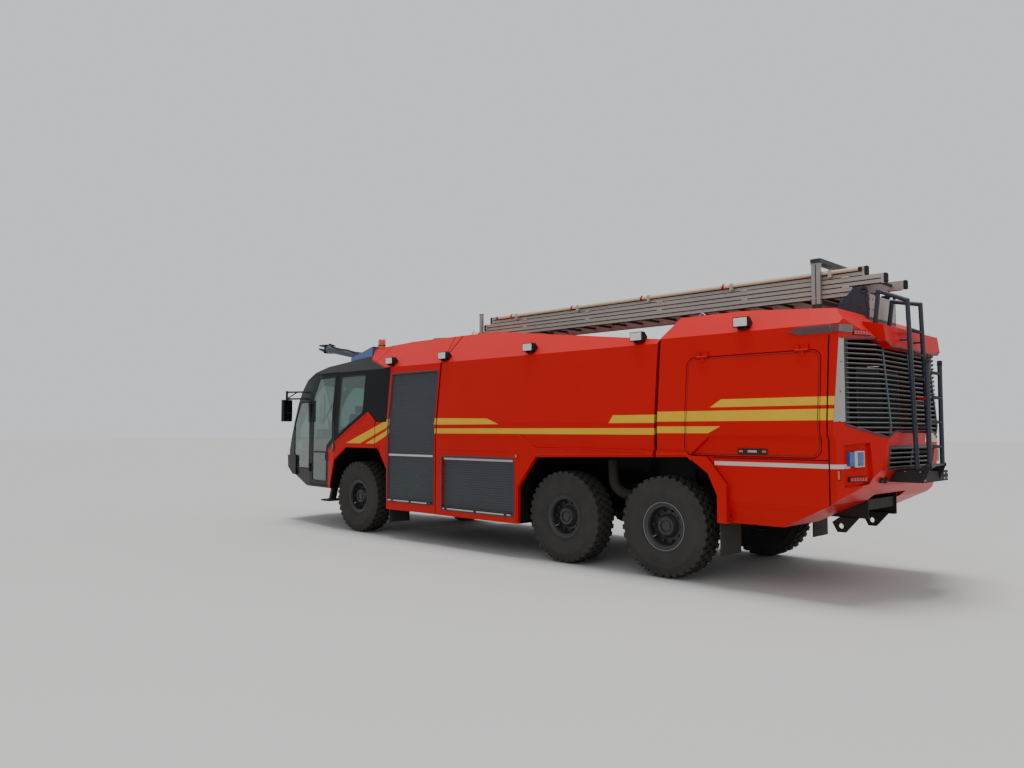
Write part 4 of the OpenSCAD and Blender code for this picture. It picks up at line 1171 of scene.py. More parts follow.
class Skin:
    """The outer faces of some CAD nodes, used to lay trim exactly on them."""

    def __init__(self, *nodes: str) -> None:
        """Gathers the nodes' faces.

        Args:
            nodes: Names of the CAD nodes.
        """
        verts, faces = [], []
        for node in nodes:
            mesh = frame["nodes"][node].data
            start = len(verts)
            verts.extend(v.co.copy() for v in mesh.vertices)
            faces.extend([start + i for i in p.vertices] for p in mesh.polygons)
        self.tree = BVHTree.FromPolygons(verts, faces)

    def cast(self, start: Point, way: Point) -> Optional[Hit]:
        """Returns the first point and normal that a ray meets."""
        hit = self.tree.ray_cast(Vector(start), Vector(way).normalized())
        return None if hit[0] is None else (hit[0], hit[1])

    def side(self, rear: float, z: float, sign: float) -> Optional[Hit]:
        """Returns the surface met from the left or right at a station and height."""
        return self.cast(at(rear, sign * 3.0, z), (0, -sign, 0))

    def along(self, path: Outline, sign: float, step: float = 0.05,
              closed: bool = False) -> list[Optional[Hit]]:
        """Follows a path on the left or right side.

        Args:
            path: Its corners: station, z.
            sign: 1 on the left and -1 on the right.
            step: Greatest distance between two points.
            closed: Whether the path is a loop.

        Returns:
            The surface at points along it.
        """
        return [self.side(x, z, sign) for x, z in dense(path, step, closed)]

    def back(self, y: float, z: float) -> Optional[Hit]:
        """Returns the surface met from behind."""
        return self.cast(at(-4.0, y, z), (1, 0, 0))

    def front(self, y: float, z: float) -> Optional[Hit]:
        """Returns the surface met from ahead."""
        return self.cast(at(12.0, y, z), (-1, 0, 0))

    def top(self, rear: float, y: float) -> Optional[Hit]:
        """Returns the surface met from above."""
        return self.cast(at(rear, y, 6.0), (0, 0, -1))


def dense(outline: Outline, step: float = 0.04, closed: bool = True) -> list[tuple[float, float]]:
    """Adds points to an outline so that none is farther than a step from the next.

    Args:
        outline: The corners.
        step: Greatest distance.
        closed: Whether the outline is a loop.

    Returns:
        The outline with more points.
    """
    corners = list(outline) + ([outline[0]] if closed else [])
    points = []
    for (x0, y0), (x1, y1) in zip(corners, corners[1:]):
        count = max(1, int(math.ceil(math.hypot(x1 - x0, y1 - y0) / step)))
        points += [(x0 + (x1 - x0) * k / count, y0 + (y1 - y0) * k / count) for k in range(count)]
    return points if closed else points + [tuple(corners[-1])]


def rounded(outline: Outline, radius: float, steps: int = 5) -> list[tuple[float, float]]:
    """Rounds the corners of a closed outline.

    Args:
        outline: The corners.
        radius: Length that is cut off each side at a corner.
        steps: Points in each rounded corner.

    Returns:
        The rounded outline.
    """
    points = []
    for i, corner in enumerate(outline):
        here = Vector(corner)
        before, after = Vector(outline[i - 1]), Vector(outline[(i + 1) % len(outline)])
        reach = min(radius, (before - here).length / 2.2, (after - here).length / 2.2)
        a = here + (before - here).normalized() * reach
        b = here + (after - here).normalized() * reach
        for k in range(steps + 1):
            t = k / steps
            points.append(tuple(a * (1 - t) ** 2 + here * (2 * t * (1 - t)) + b * t * t))
    return points


class Trim(Builder):
    """A piece that lies on a skin."""

    def ribbon(self, hits: Sequence[Optional[Hit]], width: float, height: float,
               sink: float = 0.002, closed: bool = True) -> None:
        """Adds a strip of rectangular section along points of a surface.

        Args:
            hits: Points and normals in order. Missed points are skipped.
            width: Width of the strip.
            height: How far it stands out.
            sink: How deep it reaches into the surface.
            closed: Whether it is a loop.
        """
        found = [h for h in hits if h is not None]
        if len(found) < 3:
            return
        last = len(found) - 1
        rings = []
        for i, (point, normal) in enumerate(found):
            before = found[i - 1][0] if (closed or i) else point
            after = found[i + 1 if i < last else 0][0] if (closed or i < last) else point
            side = (after - before).normalized().cross(normal).normalized()
            section = ((-1, -sink), (-1, height * 0.6), (-0.6, height), (0.6, height),
                       (1, height * 0.6), (1, -sink))
            rings.append([self.bm.verts.new(point + side * (width / 2 * a) + normal * b)
                          for a, b in section])
        loft(self.bm, rings, closed)

    def plate(self, rows: Sequence[Sequence[Hit]], height: float, sink: float = 0.002) -> None:
        """Adds a sheet over a grid of surface points.

        Args:
            rows: Points and normals, row by row. A row with a missed point is left out.
            height: How far it stands out.
            sink: How deep it reaches into the surface.
        """
        rows = [row for row in rows if all(row)]
        low, high = ([[self.bm.verts.new(p + n * lift) for p, n in row] for row in rows]
                     for lift in (-sink, height))
        last, wide = len(rows) - 1, len(rows[0]) - 1
        for i in range(last):
            for j in range(wide):
                for grid, way in ((low, -1), (high, 1)):
                    face = (grid[i][j], grid[i][j + 1], grid[i + 1][j + 1], grid[i + 1][j])
                    self.bm.faces.new(face[::way])
        edge = ([(0, j) for j in range(wide)] + [(i, wide) for i in range(last)]
                + [(last, wide - j) for j in range(wide)] + [(last - i, 0) for i in range(last)])
        for (i, j), (k, m) in zip(edge, edge[1:] + edge[:1]):
            self.bm.faces.new((low[i][j], low[k][m], high[k][m], high[i][j]))

    def local_box(self, base: Matrix, low: Point, high: Point) -> None:
        """Adds a block in a frame of its own.

        Args:
            base: The frame.
            low: One corner in that frame.
            high: The opposite corner.
        """
        start = len(self.bm.verts)
        self.box(low, high)
        self.bm.verts.ensure_lookup_table()
        bmesh.ops.transform(self.bm, matrix=base, verts=self.bm.verts[start:])

    def bolt(self, point: Point, way: Point, radius: float = 0.009, height: float = 0.006) -> None:
        """Adds a domed bolt head.

        Args:
            point: Where it sits.
            way: The way it points.
            radius: Its radius.
            height: Its height.
        """
        axis = Vector(way).normalized()
        side = sideways(axis)
        up = axis.cross(side)
        loft(self.bm, [[self.bm.verts.new(Vector(point) + axis * height * level
                                          + (side * c + up * s) * radius * scale)
                        for c, s in circle(8)]
                       for scale, level in ((1.0, -0.5), (1.0, 0.3), (0.75, 0.8), (0.3, 1.0))])


# ---------------------------------------------------------------- body

@dataclass(frozen=True)
class Opening:
    """A shutter opening on the side: corners of station and z, closing strip, rail brackets."""

    name: str
    low: tuple[float, float]
    high: tuple[float, float]
    strip: float
    brackets: tuple[float, ...]


@dataclass
class BodySides:
    """Trim of the main body and of the engine module."""

    openings: tuple[Opening, ...] = (
        Opening("tall", (4.25, 0.63), (5.42, 2.73), 1.38, (5.24, 4.77, 4.31)),
        Opening("low", (2.45, 0.58), (4.00, 1.37), 1.352, (3.88, 3.22, 2.58)))
    lamps: tuple[tuple[float, float], ...] = ((5.50, 2.87), (4.11, 2.87), (2.24, 2.87),
                                              (0.35, 2.87), (-1.10, 2.92))

    def build(self) -> None:
        """Builds the trim of both sides."""
        self.skin = Skin("body_main", "rear_module")
        for side, sign in SIDES:
            self.shutters(side, sign)
            self.mouldings(side, sign)
            self.latch(side, sign)
        self.curtains()
        self.scene_lamps()
        self.roof()

    def shutters(self, side: str, sign: float) -> None:
        """Builds the guides, closing strips and hand rails of the shutters.

        Args:
            side: The side's name.
            sign: 1 on the left and -1 on the right.
        """
        guides = Trim(f"shutter_guides_{side}", "chassis", Paint.SHUTTER)
        strips = Trim(f"shutter_strips_{side}", "chassis", Paint.STRIP, "shutter_alloy")
        rails = Trim(f"shutter_rails_{side}", "chassis", Paint.BRIGHT, "shutter_alloy")
        catches = Trim(f"shutter_catches_{side}", "chassis", Paint.PLASTIC)
        grow, rail = 0.016, sign * 1.536
        for o in self.openings:
            (x0, z0), (x1, z1) = o.low, o.high
            outline = dense(rect(x0, z0, x1, z1), 0.25)
            grown = [(x + grow * ((x > x1 - 0.001) - (x < x0 + 0.001)),
                      z + grow * ((z > z1 - 0.001) - (z < z0 + 0.001))) for x, z in outline]
            guides.ribbon([self.skin.side(x, z, sign) for x, z in grown], 0.030, 0.007)
            strips.box(at(x0 + 0.01, sign * 1.484, o.strip - 0.016),
                       at(x1 - 0.01, sign * 1.494, o.strip + 0.016))
            rails.tube([at(x0 + 0.03, rail, z0 + 0.002), at(x1 - 0.05, rail, z0 + 0.002)], 0.0115,
                       12)
            for x in o.brackets:
                foot = at(x, 0, z0 + 0.002)
                catches.tube([(0, sign * 1.478, 0), (0, rail, 0)], 0.010, 10, origin=foot)
                catches.tube([(0, sign * 1.484, 0), (0, sign * 1.492, 0)], 0.020, 14, origin=foot)
                catches.box((-0.024, sign * 1.520, -0.016), (0.024, sign * 1.552, 0.020), foot)
        guides.finish(bevel=0.002)
        catches.finish(bevel=0.002)
        strips.finish(bevel=0.003)
        rails.finish(bevel=0.002)

    def curtains(self) -> None:
        """Builds the fine slats of the shutters, upright below the waist and leaning above it."""
        pitch, waist, lean, gap = 0.035, 1.87, 0.1, 0.002
        meshes = []
        for o in self.openings:
            low, high = o.low[1] + gap, o.high[1] - gap
            parts = [(low, min(waist, high), 0.0)] + ([(waist, high, lean)] if high > waist else [])
            for z0, z1, tilt in parts:
                count = round((z1 - z0) / pitch)
                step = (z1 - z0) / count
                for _, sign in SIDES:
                    form = Trim("slat", "chassis", Paint.SHUTTER)
                    form.prism([(-0.024, 0.0), (-0.0035, 0.0), (-0.0010, 0.004), (0.0, step * 0.5),
                                (-0.0010, step - 0.005), (-0.0035, step - 0.0012),
                                (-0.024, step - 0.0012)], 0, o.low[0] - o.high[0] + 2 * gap, 0.0)
                    for v in form.bm.verts:
                        v.co.y = sign * (v.co.y - tilt * v.co.z)
                    meshes.append(REPEAT.run(form, count, step=(0, -sign * tilt * step, step),
                                             place=at(o.high[0] - gap, sign * 1.486, z0)))
        join("shutter_slats", "chassis", Paint.SHUTTER, meshes, replaces=("shutters",))

    def mouldings(self, side: str, sign: float) -> None:
        """Builds the lines on the body, the skirt panel, the arch lips and the side markers.

        Args:
            side: The side's name.
            sign: 1 on the left and -1 on the right.
        """
        line = Trim(f"waist_line_{side}", "chassis", Paint.RED, "red_paint")
        line.ribbon([self.skin.side(4.13 - 0.1 * k, 1.496, sign) for k in range(17)], 0.012, 0.006,
                    closed=False)
        band = [(4.13, 1.712), (2.335, 1.712), (2.006, 1.570), (0.03, 1.517)]
        line.ribbon(self.skin.along(band, sign, 0.06), 0.012, 0.006, closed=False)
        line.finish()
        self.skirt(side, sign)
        edge = Trim(f"arch_edge_{side}", "chassis", Paint.RED)
        arch = [(-0.785, 1.05), (-0.66, 1.292), (-0.42, 1.512), (1.99, 1.452), (2.375, 1.0),
                (2.395, 0.50)]
        for part in (arch[:3] + [(0.0, 1.502)], [(0.06, 1.500)] + arch[3:]):
            edge.ribbon(self.skin.along(part, sign), 0.026, 0.010, closed=False)
        edge.finish()
        marker = Trim(f"side_markers_{side}", "chassis", Paint.AMBER)
        bezel = Trim(f"side_marker_bezels_{side}", "chassis", Paint.PLASTIC)
        for x, z, wide, tall in ((-2.190, 1.330, 0.020, 0.046), (2.385, 1.425, 0.020, 0.026)):
            point, _ = self.skin.side(x, z, sign)
            for piece, rim, out in ((marker, 0.0, 0.010), (bezel, 0.007, 0.005)):
                piece.box((-wide - rim, 0, -tall - rim), (wide + rim, sign * out, tall + rim),
                          point)
        marker.finish(bevel=0.004)
        bezel.finish(bevel=0.003)

    def skirt(self, side: str, sign: float) -> None:
        """Closes the slot under the sloping face behind the rear wheel.

        Args:
            side: The side's name.
            sign: 1 on the left and -1 on the right.
        """
        skirt = Trim(f"skirt_panel_{side}", "chassis", Paint.RED)
        # The face leans inwards by this much for each metre below 1.0, where it is 1.465 out
        lean = 0.2885
        outward = Vector((0, sign * 0.961, -0.277))
        rows = []
        for low in (True, False):
            row = []
            for x in (-0.925 - 0.045 * k for k in range(20)):
                z = 0.785 + max(0.0, -1.57 - x) * 0.5 if low else 0.934
                row.append((at(x, sign * (1.465 - lean * (1.0 - z)), z), outward))
            rows.append(row)
        skirt.plate(rows, 0.002, sink=0.010)
        skirt.finish()

    def latch(self, side: str, sign: float) -> None:
        """Builds the latch recess, its reflectors and the seal of the engine flap.

        Args:
            side: The side's name.
            sign: 1 on the left and -1 on the right.
        """
        skin = Skin(f"flap_{side}")
        body = f"engine_flap_{side}"
        well = Trim(f"flap_latch_well_{side}", body, Paint.PLASTIC)
        pull = Trim(f"flap_latch_{side}", body, Paint.BRIGHT, "dark_plastic")
        # The reflectors take the amber lens's faint glow, a painted glow as they are no lamps.
        glow = Trim(f"flap_reflectors_{side}", body, Paint.AMBER)
        outline = rounded(rect(-1.42, 1.532, -1.06, 1.588), 0.02)
        well.ribbon([skin.side(x, z, sign) for x, z in outline], 0.012, 0.006)
        well.plate([[skin.side(-1.41 + 0.35 * j / 8, z, sign) for j in range(9)]
                    for z in (1.54, 1.56, 1.58)], 0.002)
        for x in (-1.38, -1.10):
            glow.box((-0.024, 0, -0.013), (0.024, sign * 0.006, 0.013), skin.side(x, 1.56, sign)[0])
        middle = skin.side(-1.24, 1.56, sign)[0]
        pull.box((-0.055, sign * 0.001, -0.012), (0.055, sign * 0.010, 0.012), middle)
        pull.tube([(-0.045, sign * 0.012, 0), (0.045, sign * 0.012, 0)], 0.006, 8, origin=middle)
        for piece in (well, pull, glow):
            piece.finish(bevel=0.002)
        seal = Trim(f"flap_seal_{side}", body, Paint.FLAP)
        ring = rounded(rect(-2.005, 1.52, -0.405, 2.635), 0.11, 8)
        seal.ribbon(skin.along(ring, sign, closed=True), 0.009, 0.002)
        seal.finish()

    def scene_lamps(self) -> None:
        """Builds dark housings and ribbed lenses round the scene lamps."""
        housing = Trim("scene_lamp_housings", "chassis", Paint.PLASTIC)
        lens = Trim("scene_lamp_lenses", "chassis", Paint.LAMP)
        for rear, crease in self.lamps:
            o = at(rear, 0, crease + 0.109)
            for _, sign in SIDES:
                shell = [(1.448, -0.060), (1.448, 0.056), (1.424, 0.060), (1.404, 0.040),
                         (1.404, -0.040), (1.424, -0.060)]
                housing.prism([(sign * y, o.z + h) for y, h in shell], 0, o.x - 0.094, o.x + 0.094)
                for k in range(5):
                    housing.box((-0.064 + 0.028 * k, sign * 1.380, -0.040),
                                (-0.052 + 0.028 * k, sign * 1.408, 0.040), o)
                lens.box((-0.083, sign * 1.446, -0.050), (0.083, sign * 1.4525, 0.046), o)
                for s in (-0.050, 0.040):
                    housing.box((s, sign * 1.350, -0.080), (s + 0.010, sign * 1.430, -0.030), o)
        housing.finish(bevel=0.002)
        lens.finish(bevel=0.002)

    def roof(self) -> None:
        """Builds roof hatches, tread plates, filler covers and lifting eyes."""
        skin = Skin("body_main", "rear_module", "cab_shell")
        hatch = Trim("roof_hatches", "chassis", Paint.GREY)
        walk = Trim("roof_walkway", "chassis", Paint.TREAD, "chassis_steel")
        knobs = Trim("roof_fittings", "chassis", Paint.BRIGHT, "ladder_alloy")
        for x, y, w in ((5.0, 0.0, 0.34), (5.0, 0.62, 0.22), (5.0, -0.62, 0.22)):
            p = skin.top(x, y)[0]
            hatch.spin([(AXIS, 0.0), (w, 0.0), (w, 0.022), (w - 0.02, 0.034), (AXIS, 0.040)], p, 2,
                       40)
            for c, s in circle(4, math.pi / 4):
                knobs.bolt(p + Vector((c * (w - 0.04), s * (w - 0.04), 0.034)), (0, 0, 1), 0.012,
                           0.010)
        for y0, y1 in ((0.50, 0.86), (-0.86, -0.50)):
            for x0, x1 in ((0.10, 3.30), (-1.35, -0.15)):
                walk.plate([[skin.top(x0 + (x1 - x0) * i / 12, y0 + (y1 - y0) * j / 2)
                             for j in range(3)] for i in range(13)], 0.005)
        eye = [(-0.05, 0, -0.005), (-0.04, 0, 0.05), (0, 0, 0.075), (0.04, 0, 0.05),
               (0.05, 0, -0.005)]
        for x, y in ((4.05, 0.80), (0.15, 0.85), (-0.25, 0.85)):
            for _, sign in SIDES:
                knobs.tube(eye, 0.010, 8, origin=skin.top(x, sign * y)[0])
        hatch.finish()
        walk.finish()
        knobs.finish()


# ---------------------------------------------------------------- cab

@dataclass
class Cab:
    """Window seals, door gear, wipers, mirror glass and fender lamps."""

    rear_pane: Outline = ((6.26, 2.11), (7.00, 1.712), (7.00, 2.76), (6.26, 2.76))
    front_pane: Outline = ((8.24, 1.06), (9.04, 1.06), (9.04, 1.90), (8.75, 2.32), (8.24, 2.33))
    door_pane: Outline = ((7.44, 0.85), (8.06, 0.85), (8.06, 2.39), (7.78, 2.75), (7.21, 2.77),
                          (7.21, 1.64), (7.44, 1.51))
    screen: Outline = ((0.06, 1.64), (0.88, 1.64), (0.94, 1.80), (0.80, 2.69), (0.06, 2.69))
    low_screen: Outline = ((0.06, 1.40), (0.86, 1.40), (0.86, 1.56), (0.06, 1.56))

    def build(self) -> None:
        """Builds the cab's trim on both sides and in front."""
        self.shell = Skin("cab_shell")
        for side, sign in SIDES:
            self.seals(side, sign)
            self.door(side, sign)
            self.mirror(side, sign)
            self.fender(side, sign)
            self.step(side, sign)
        self.front()
        self.roof()

    def ring(self, piece: Trim, skin: Skin, outline: Outline, sign: float,
             front: bool = False) -> None:
        """Adds a rubber seal round a pane.

        Args:
            piece: The piece under construction.
            skin: The faces that it lies on.
            outline: The pane's outline.
            sign: 1 on the left and -1 on the right.
            front: Whether the outline is seen from ahead.
        """
        # The seal's middle line lies this far outside the pane
        grow = 0.013
        cx = sum(p[0] for p in outline) / len(outline)
        cz = sum(p[1] for p in outline) / len(outline)
        hits = []
        for x, z in dense(rounded(outline, 0.03, 3), 0.05):
            a, b = Vector((x, z)) + Vector((x - cx, z - cz)).normalized() * grow
            hits.append(skin.front(sign * a, b) if front else skin.side(a, b, sign))
        piece.ribbon(hits, 0.024, 0.006)

    def seals(self, side: str, sign: float) -> None:
        """Builds the seals of the panes on one side.

        Args:
            side: The side's name.
            sign: 1 on the left and -1 on the right.
        """
        seal = Trim(f"pane_seals_{side}", "chassis", Paint.FLAP)
        for outline in (self.rear_pane, self.front_pane):
            self.ring(seal, self.shell, outline, sign)
        for outline in (self.screen, self.low_screen):
            self.ring(seal, self.shell, outline, sign, front=True)
        seal.finish()

    def door(self, side: str, sign: float) -> None:
        """Builds the door's seal, handle, waist bar and the grab rails behind the pane.

        Args:
            side: The side's name.
            sign: 1 on the left and -1 on the right.
        """
        body = f"cab_door_{side}"
        skin = Skin(f"door_{side}", f"door_glass_{side}")
        seal = Trim(f"door_pane_seal_{side}", body, Paint.FLAP)
        self.ring(seal, skin, self.door_pane, sign)
        seal.finish()
        bar = Trim(f"door_bar_{side}", body, Paint.PLASTIC)
        bar.ribbon([skin.side(7.46 + 0.06 * k, 1.38, sign) for k in range(10)], 0.034, 0.010,
                   closed=False)
        grip = skin.side(7.385, 1.30, sign)[0]
        bar.box((-0.028, -sign * 0.002, -0.10), (0.028, sign * 0.012, 0.10), grip)
        bar.tube([(0.0, sign * 0.010, -0.075), (0.0, sign * 0.045, -0.055),
                  (0.0, sign * 0.045, 0.055), (0.0, sign * 0.010, 0.075)], 0.010, 10, origin=grip)
        bar.finish(bevel=0.002)
        rails = Trim(f"door_grab_rails_{side}", body, Paint.PLASTIC)
        for (x0, z0), (x1, z1) in (((8.02, 1.95), (7.25, 2.55)), ((7.83, 2.10), (7.55, 1.55))):
            path = ((x0, 1.222, z0), ((x0 + x1) / 2, 1.225, (z0 + z1) / 2), (x1, 1.238, z1))
            rails.tube([at(x, sign * (y - (x - 7.2) * 0.12), z) for x, y, z in path], 0.016, 10)
        rails.finish()

    def mirror(self, side: str, sign: float) -> None:
        """Builds the glass and the rim of a mirror.

        Args:
            side: The side's name.
            sign: 1 on the left and -1 on the right.
        """
        o = at(8.786, 0, 0)
        inner, outer, rim = 1.36, 1.55, 0.012
        glass = Trim(f"mirror_glass_{side}", "chassis", Paint.MIRROR, "window_glass")
        for z0, z1 in ((2.14, 2.365), (1.985, 2.115)):
            glass.box((-0.004, sign * (inner + rim), z0), (0.003, sign * (outer - rim), z1), o)
        glass.finish(bevel=0.002)
        frame_piece = Trim(f"mirror_rim_{side}", "chassis", Paint.PLASTIC)
        for z0, z1 in ((1.972, 2.128), (2.128, 2.38)):
            for y0, y1, low, high in ((inner, inner + rim, z0, z1), (outer - rim, outer, z0, z1),
                                      (inner, outer, z0, z0 + rim), (inner, outer, z1 - rim, z1)):
                frame_piece.box((-0.010, sign * y0, low), (0.006, sign * y1, high), o)
        frame_piece.finish(bevel=0.003)

    def fender(self, side: str, sign: float) -> None:
        """Builds the oval lamp recess, the fender's edge and the arch lip.

        Args:
            side: The side's name.
            sign: 1 on the left and -1 on the right.
        """
        skin = Skin("front_fenders", "cab_shell", "body_main")
        dark = Trim(f"fender_lamp_well_{side}", "chassis", Paint.PLASTIC)
        lamp = Trim(f"fender_lamp_{side}", "chassis", Paint.SCREEN)
        point, normal = skin.side(7.13, 1.49, sign)
        along = (Vector((1, 0, 0)) - normal * normal.x).normalized()
        upward = (Vector((0, 0, 1)) - normal * normal.z).normalized()
        turns = [math.radians(-84 + 14 * k) for k in range(13)]
        for piece, wide, tall, height in ((dark, 0.056, 0.094, 0.006), (lamp, 0.036, 0.064, 0.010)):
            piece.plate([[(point + along * (wide * math.cos(t) * u) + upward * (tall * math.sin(t)),
                           normal)
                          for u in (-1.0, -0.5, 0.0, 0.5, 1.0)] for t in turns], height)
        dark.finish(bevel=0.003)
        lamp.finish(bevel=0.004)
        lip = Trim(f"front_arch_lip_{side}", "chassis", Paint.RED)
        arch = [(5.53, 1.068), (5.75, 1.496), (6.705, 1.496), (7.085, 1.262), (7.235, 0.76)]
        lip.ribbon(skin.along(arch, sign), 0.022, 0.014, closed=False)
        lip.finish()
        edge = Trim(f"fender_edge_{side}", "chassis", Paint.RED)
        path = [(5.84, 1.905), (6.083, 2.083), (7.30, 1.436)]
        edge.ribbon(skin.along(path, sign), 0.012, 0.006, closed=False)
        edge.finish()

    def step(self, side: str, sign: float) -> None:
        """Builds the tread of the cab step and its cleats.

        Args:
            side: The side's name.
            sign: 1 on the left and -1 on the right.
        """
        tread = Trim(f"step_tread_{side}", "chassis", Paint.TREAD, "chassis_steel")
        tread.box(at(7.38, sign * 1.09, 0.494), at(7.62, sign * 1.39, 0.500))
        tread.finish(bevel=0.002)
        cleat = Trim("cleat", "chassis", Paint.TREAD)
        cleat.box((-0.10, -0.008, 0.0), (0.10, 0.008, 0.008))
        mesh = REPEAT.run(cleat, 8, step=(0, sign * 0.036, 0), place=at(7.50, sign * 1.115, 0.499))
        join(f"step_cleats_{side}", "chassis", Paint.TREAD, (mesh,), slot="chassis_steel")

    def front(self) -> None:
        """Builds the wipers, the bumper's vents, the head lamp lenses and the plate."""
        skin = Skin("cab_shell", "windscreen")
        wiper = Trim("wipers", "chassis", Paint.PLASTIC)
        for foot, tip in (((0.20, 1.60), (0.52, 2.32)), ((0.78, 1.60), (0.30, 2.05)),
                          ((-0.20, 1.60), (-0.52, 2.32)), ((-0.78, 1.60), (-0.30, 2.05))):
            path = []
            for k in range(9):
                y, z = (foot[i] + (tip[i] - foot[i]) * k / 8 for i in (0, 1))
                point, normal = skin.front(y, z)
                path.append(point + normal * (0.020 if k else 0.004))
            wiper.tube(path, 0.007, 8)
            wiper.tube((path[-4], path[-1]), 0.011, 8, origin=(-0.010, 0, 0))
            wiper.tube([(-0.02, 0, 0), (0.02, 0, 0)], 0.020, 12, origin=path[0])
        wiper.finish()
        bumper = Skin("front_bumper", "cab_shell")
        vents = Trim("bumper_vents", "chassis", Paint.FLAP)
        for z in (1.175, 1.205, 1.235):
            for s in (1, -1):
                vents.ribbon([bumper.front(s * (0.10 + 0.05 * k), z) for k in range(10)], 0.014,
                             0.006, closed=False)
        vents.finish()
        rims = Trim("headlamp_rims", "chassis", Paint.PLASTIC)
        lens = Trim("headlamp_lenses", "chassis", Paint.LAMP)
        lamps = Skin("headlamps")
        for _, sign in SIDES:
            outline = rounded(rect(0.548, 0.998, 0.892, 1.142), 0.02)
            rims.ribbon([bumper.front(sign * y, z) for y, z in dense(outline, 0.05)], 0.020, 0.016)
            for y in (0.64, 0.79):
                lens.spin([(AXIS, 0.012), (0.030, 0.009), (0.048, 0.0), (0.048, -0.006),
                           (AXIS, -0.006)], lamps.front(sign * y, 1.07)[0], 0, 28)
        rims.finish()
        lens.finish()
        plate = Trim("blank_plate", "chassis", Paint.CREAM, "lamp_white")
        plate.plate([[bumper.front(y, z) for y in (-0.26, -0.13, 0.0, 0.13, 0.26)]
                     for z in (0.935, 0.985, 1.045)], 0.006)
        plate.finish()

    def roof(self) -> None:
        """Builds the horns and aerials of the roof."""
        skin = Skin("cab_shell")
        fit = Trim("roof_aerials", "chassis", Paint.PLASTIC)
        for y, height in ((0.35, 0.42), (-0.35, 0.30)):
            p = skin.top(7.35, y)[0]
            fit.spin([(AXIS, 0.0), (0.032, 0.0), (0.024, 0.022), (AXIS, 0.026)], p, 2, 20)
            fit.tube([(0, 0, 0.01), (-0.02, 0, height)], 0.0035, 6, origin=p)
        for y in (0.50, 0.62, -0.50, -0.62):
            p = skin.top(7.95, y)[0]
            fit.spin([(AXIS, 0.0), (0.034, 0.0), (0.030, -0.02), (0.012, -0.07), (0.009, -0.28),
                      (AXIS, -0.28)], p + Vector((0.14, 0, 0.055)), 0, 20)
            fit.box((-0.02, -0.012, -0.004), (0.02, 0.012, 0.05), p)
        fit.finish()


# ---------------------------------------------------------------- rear

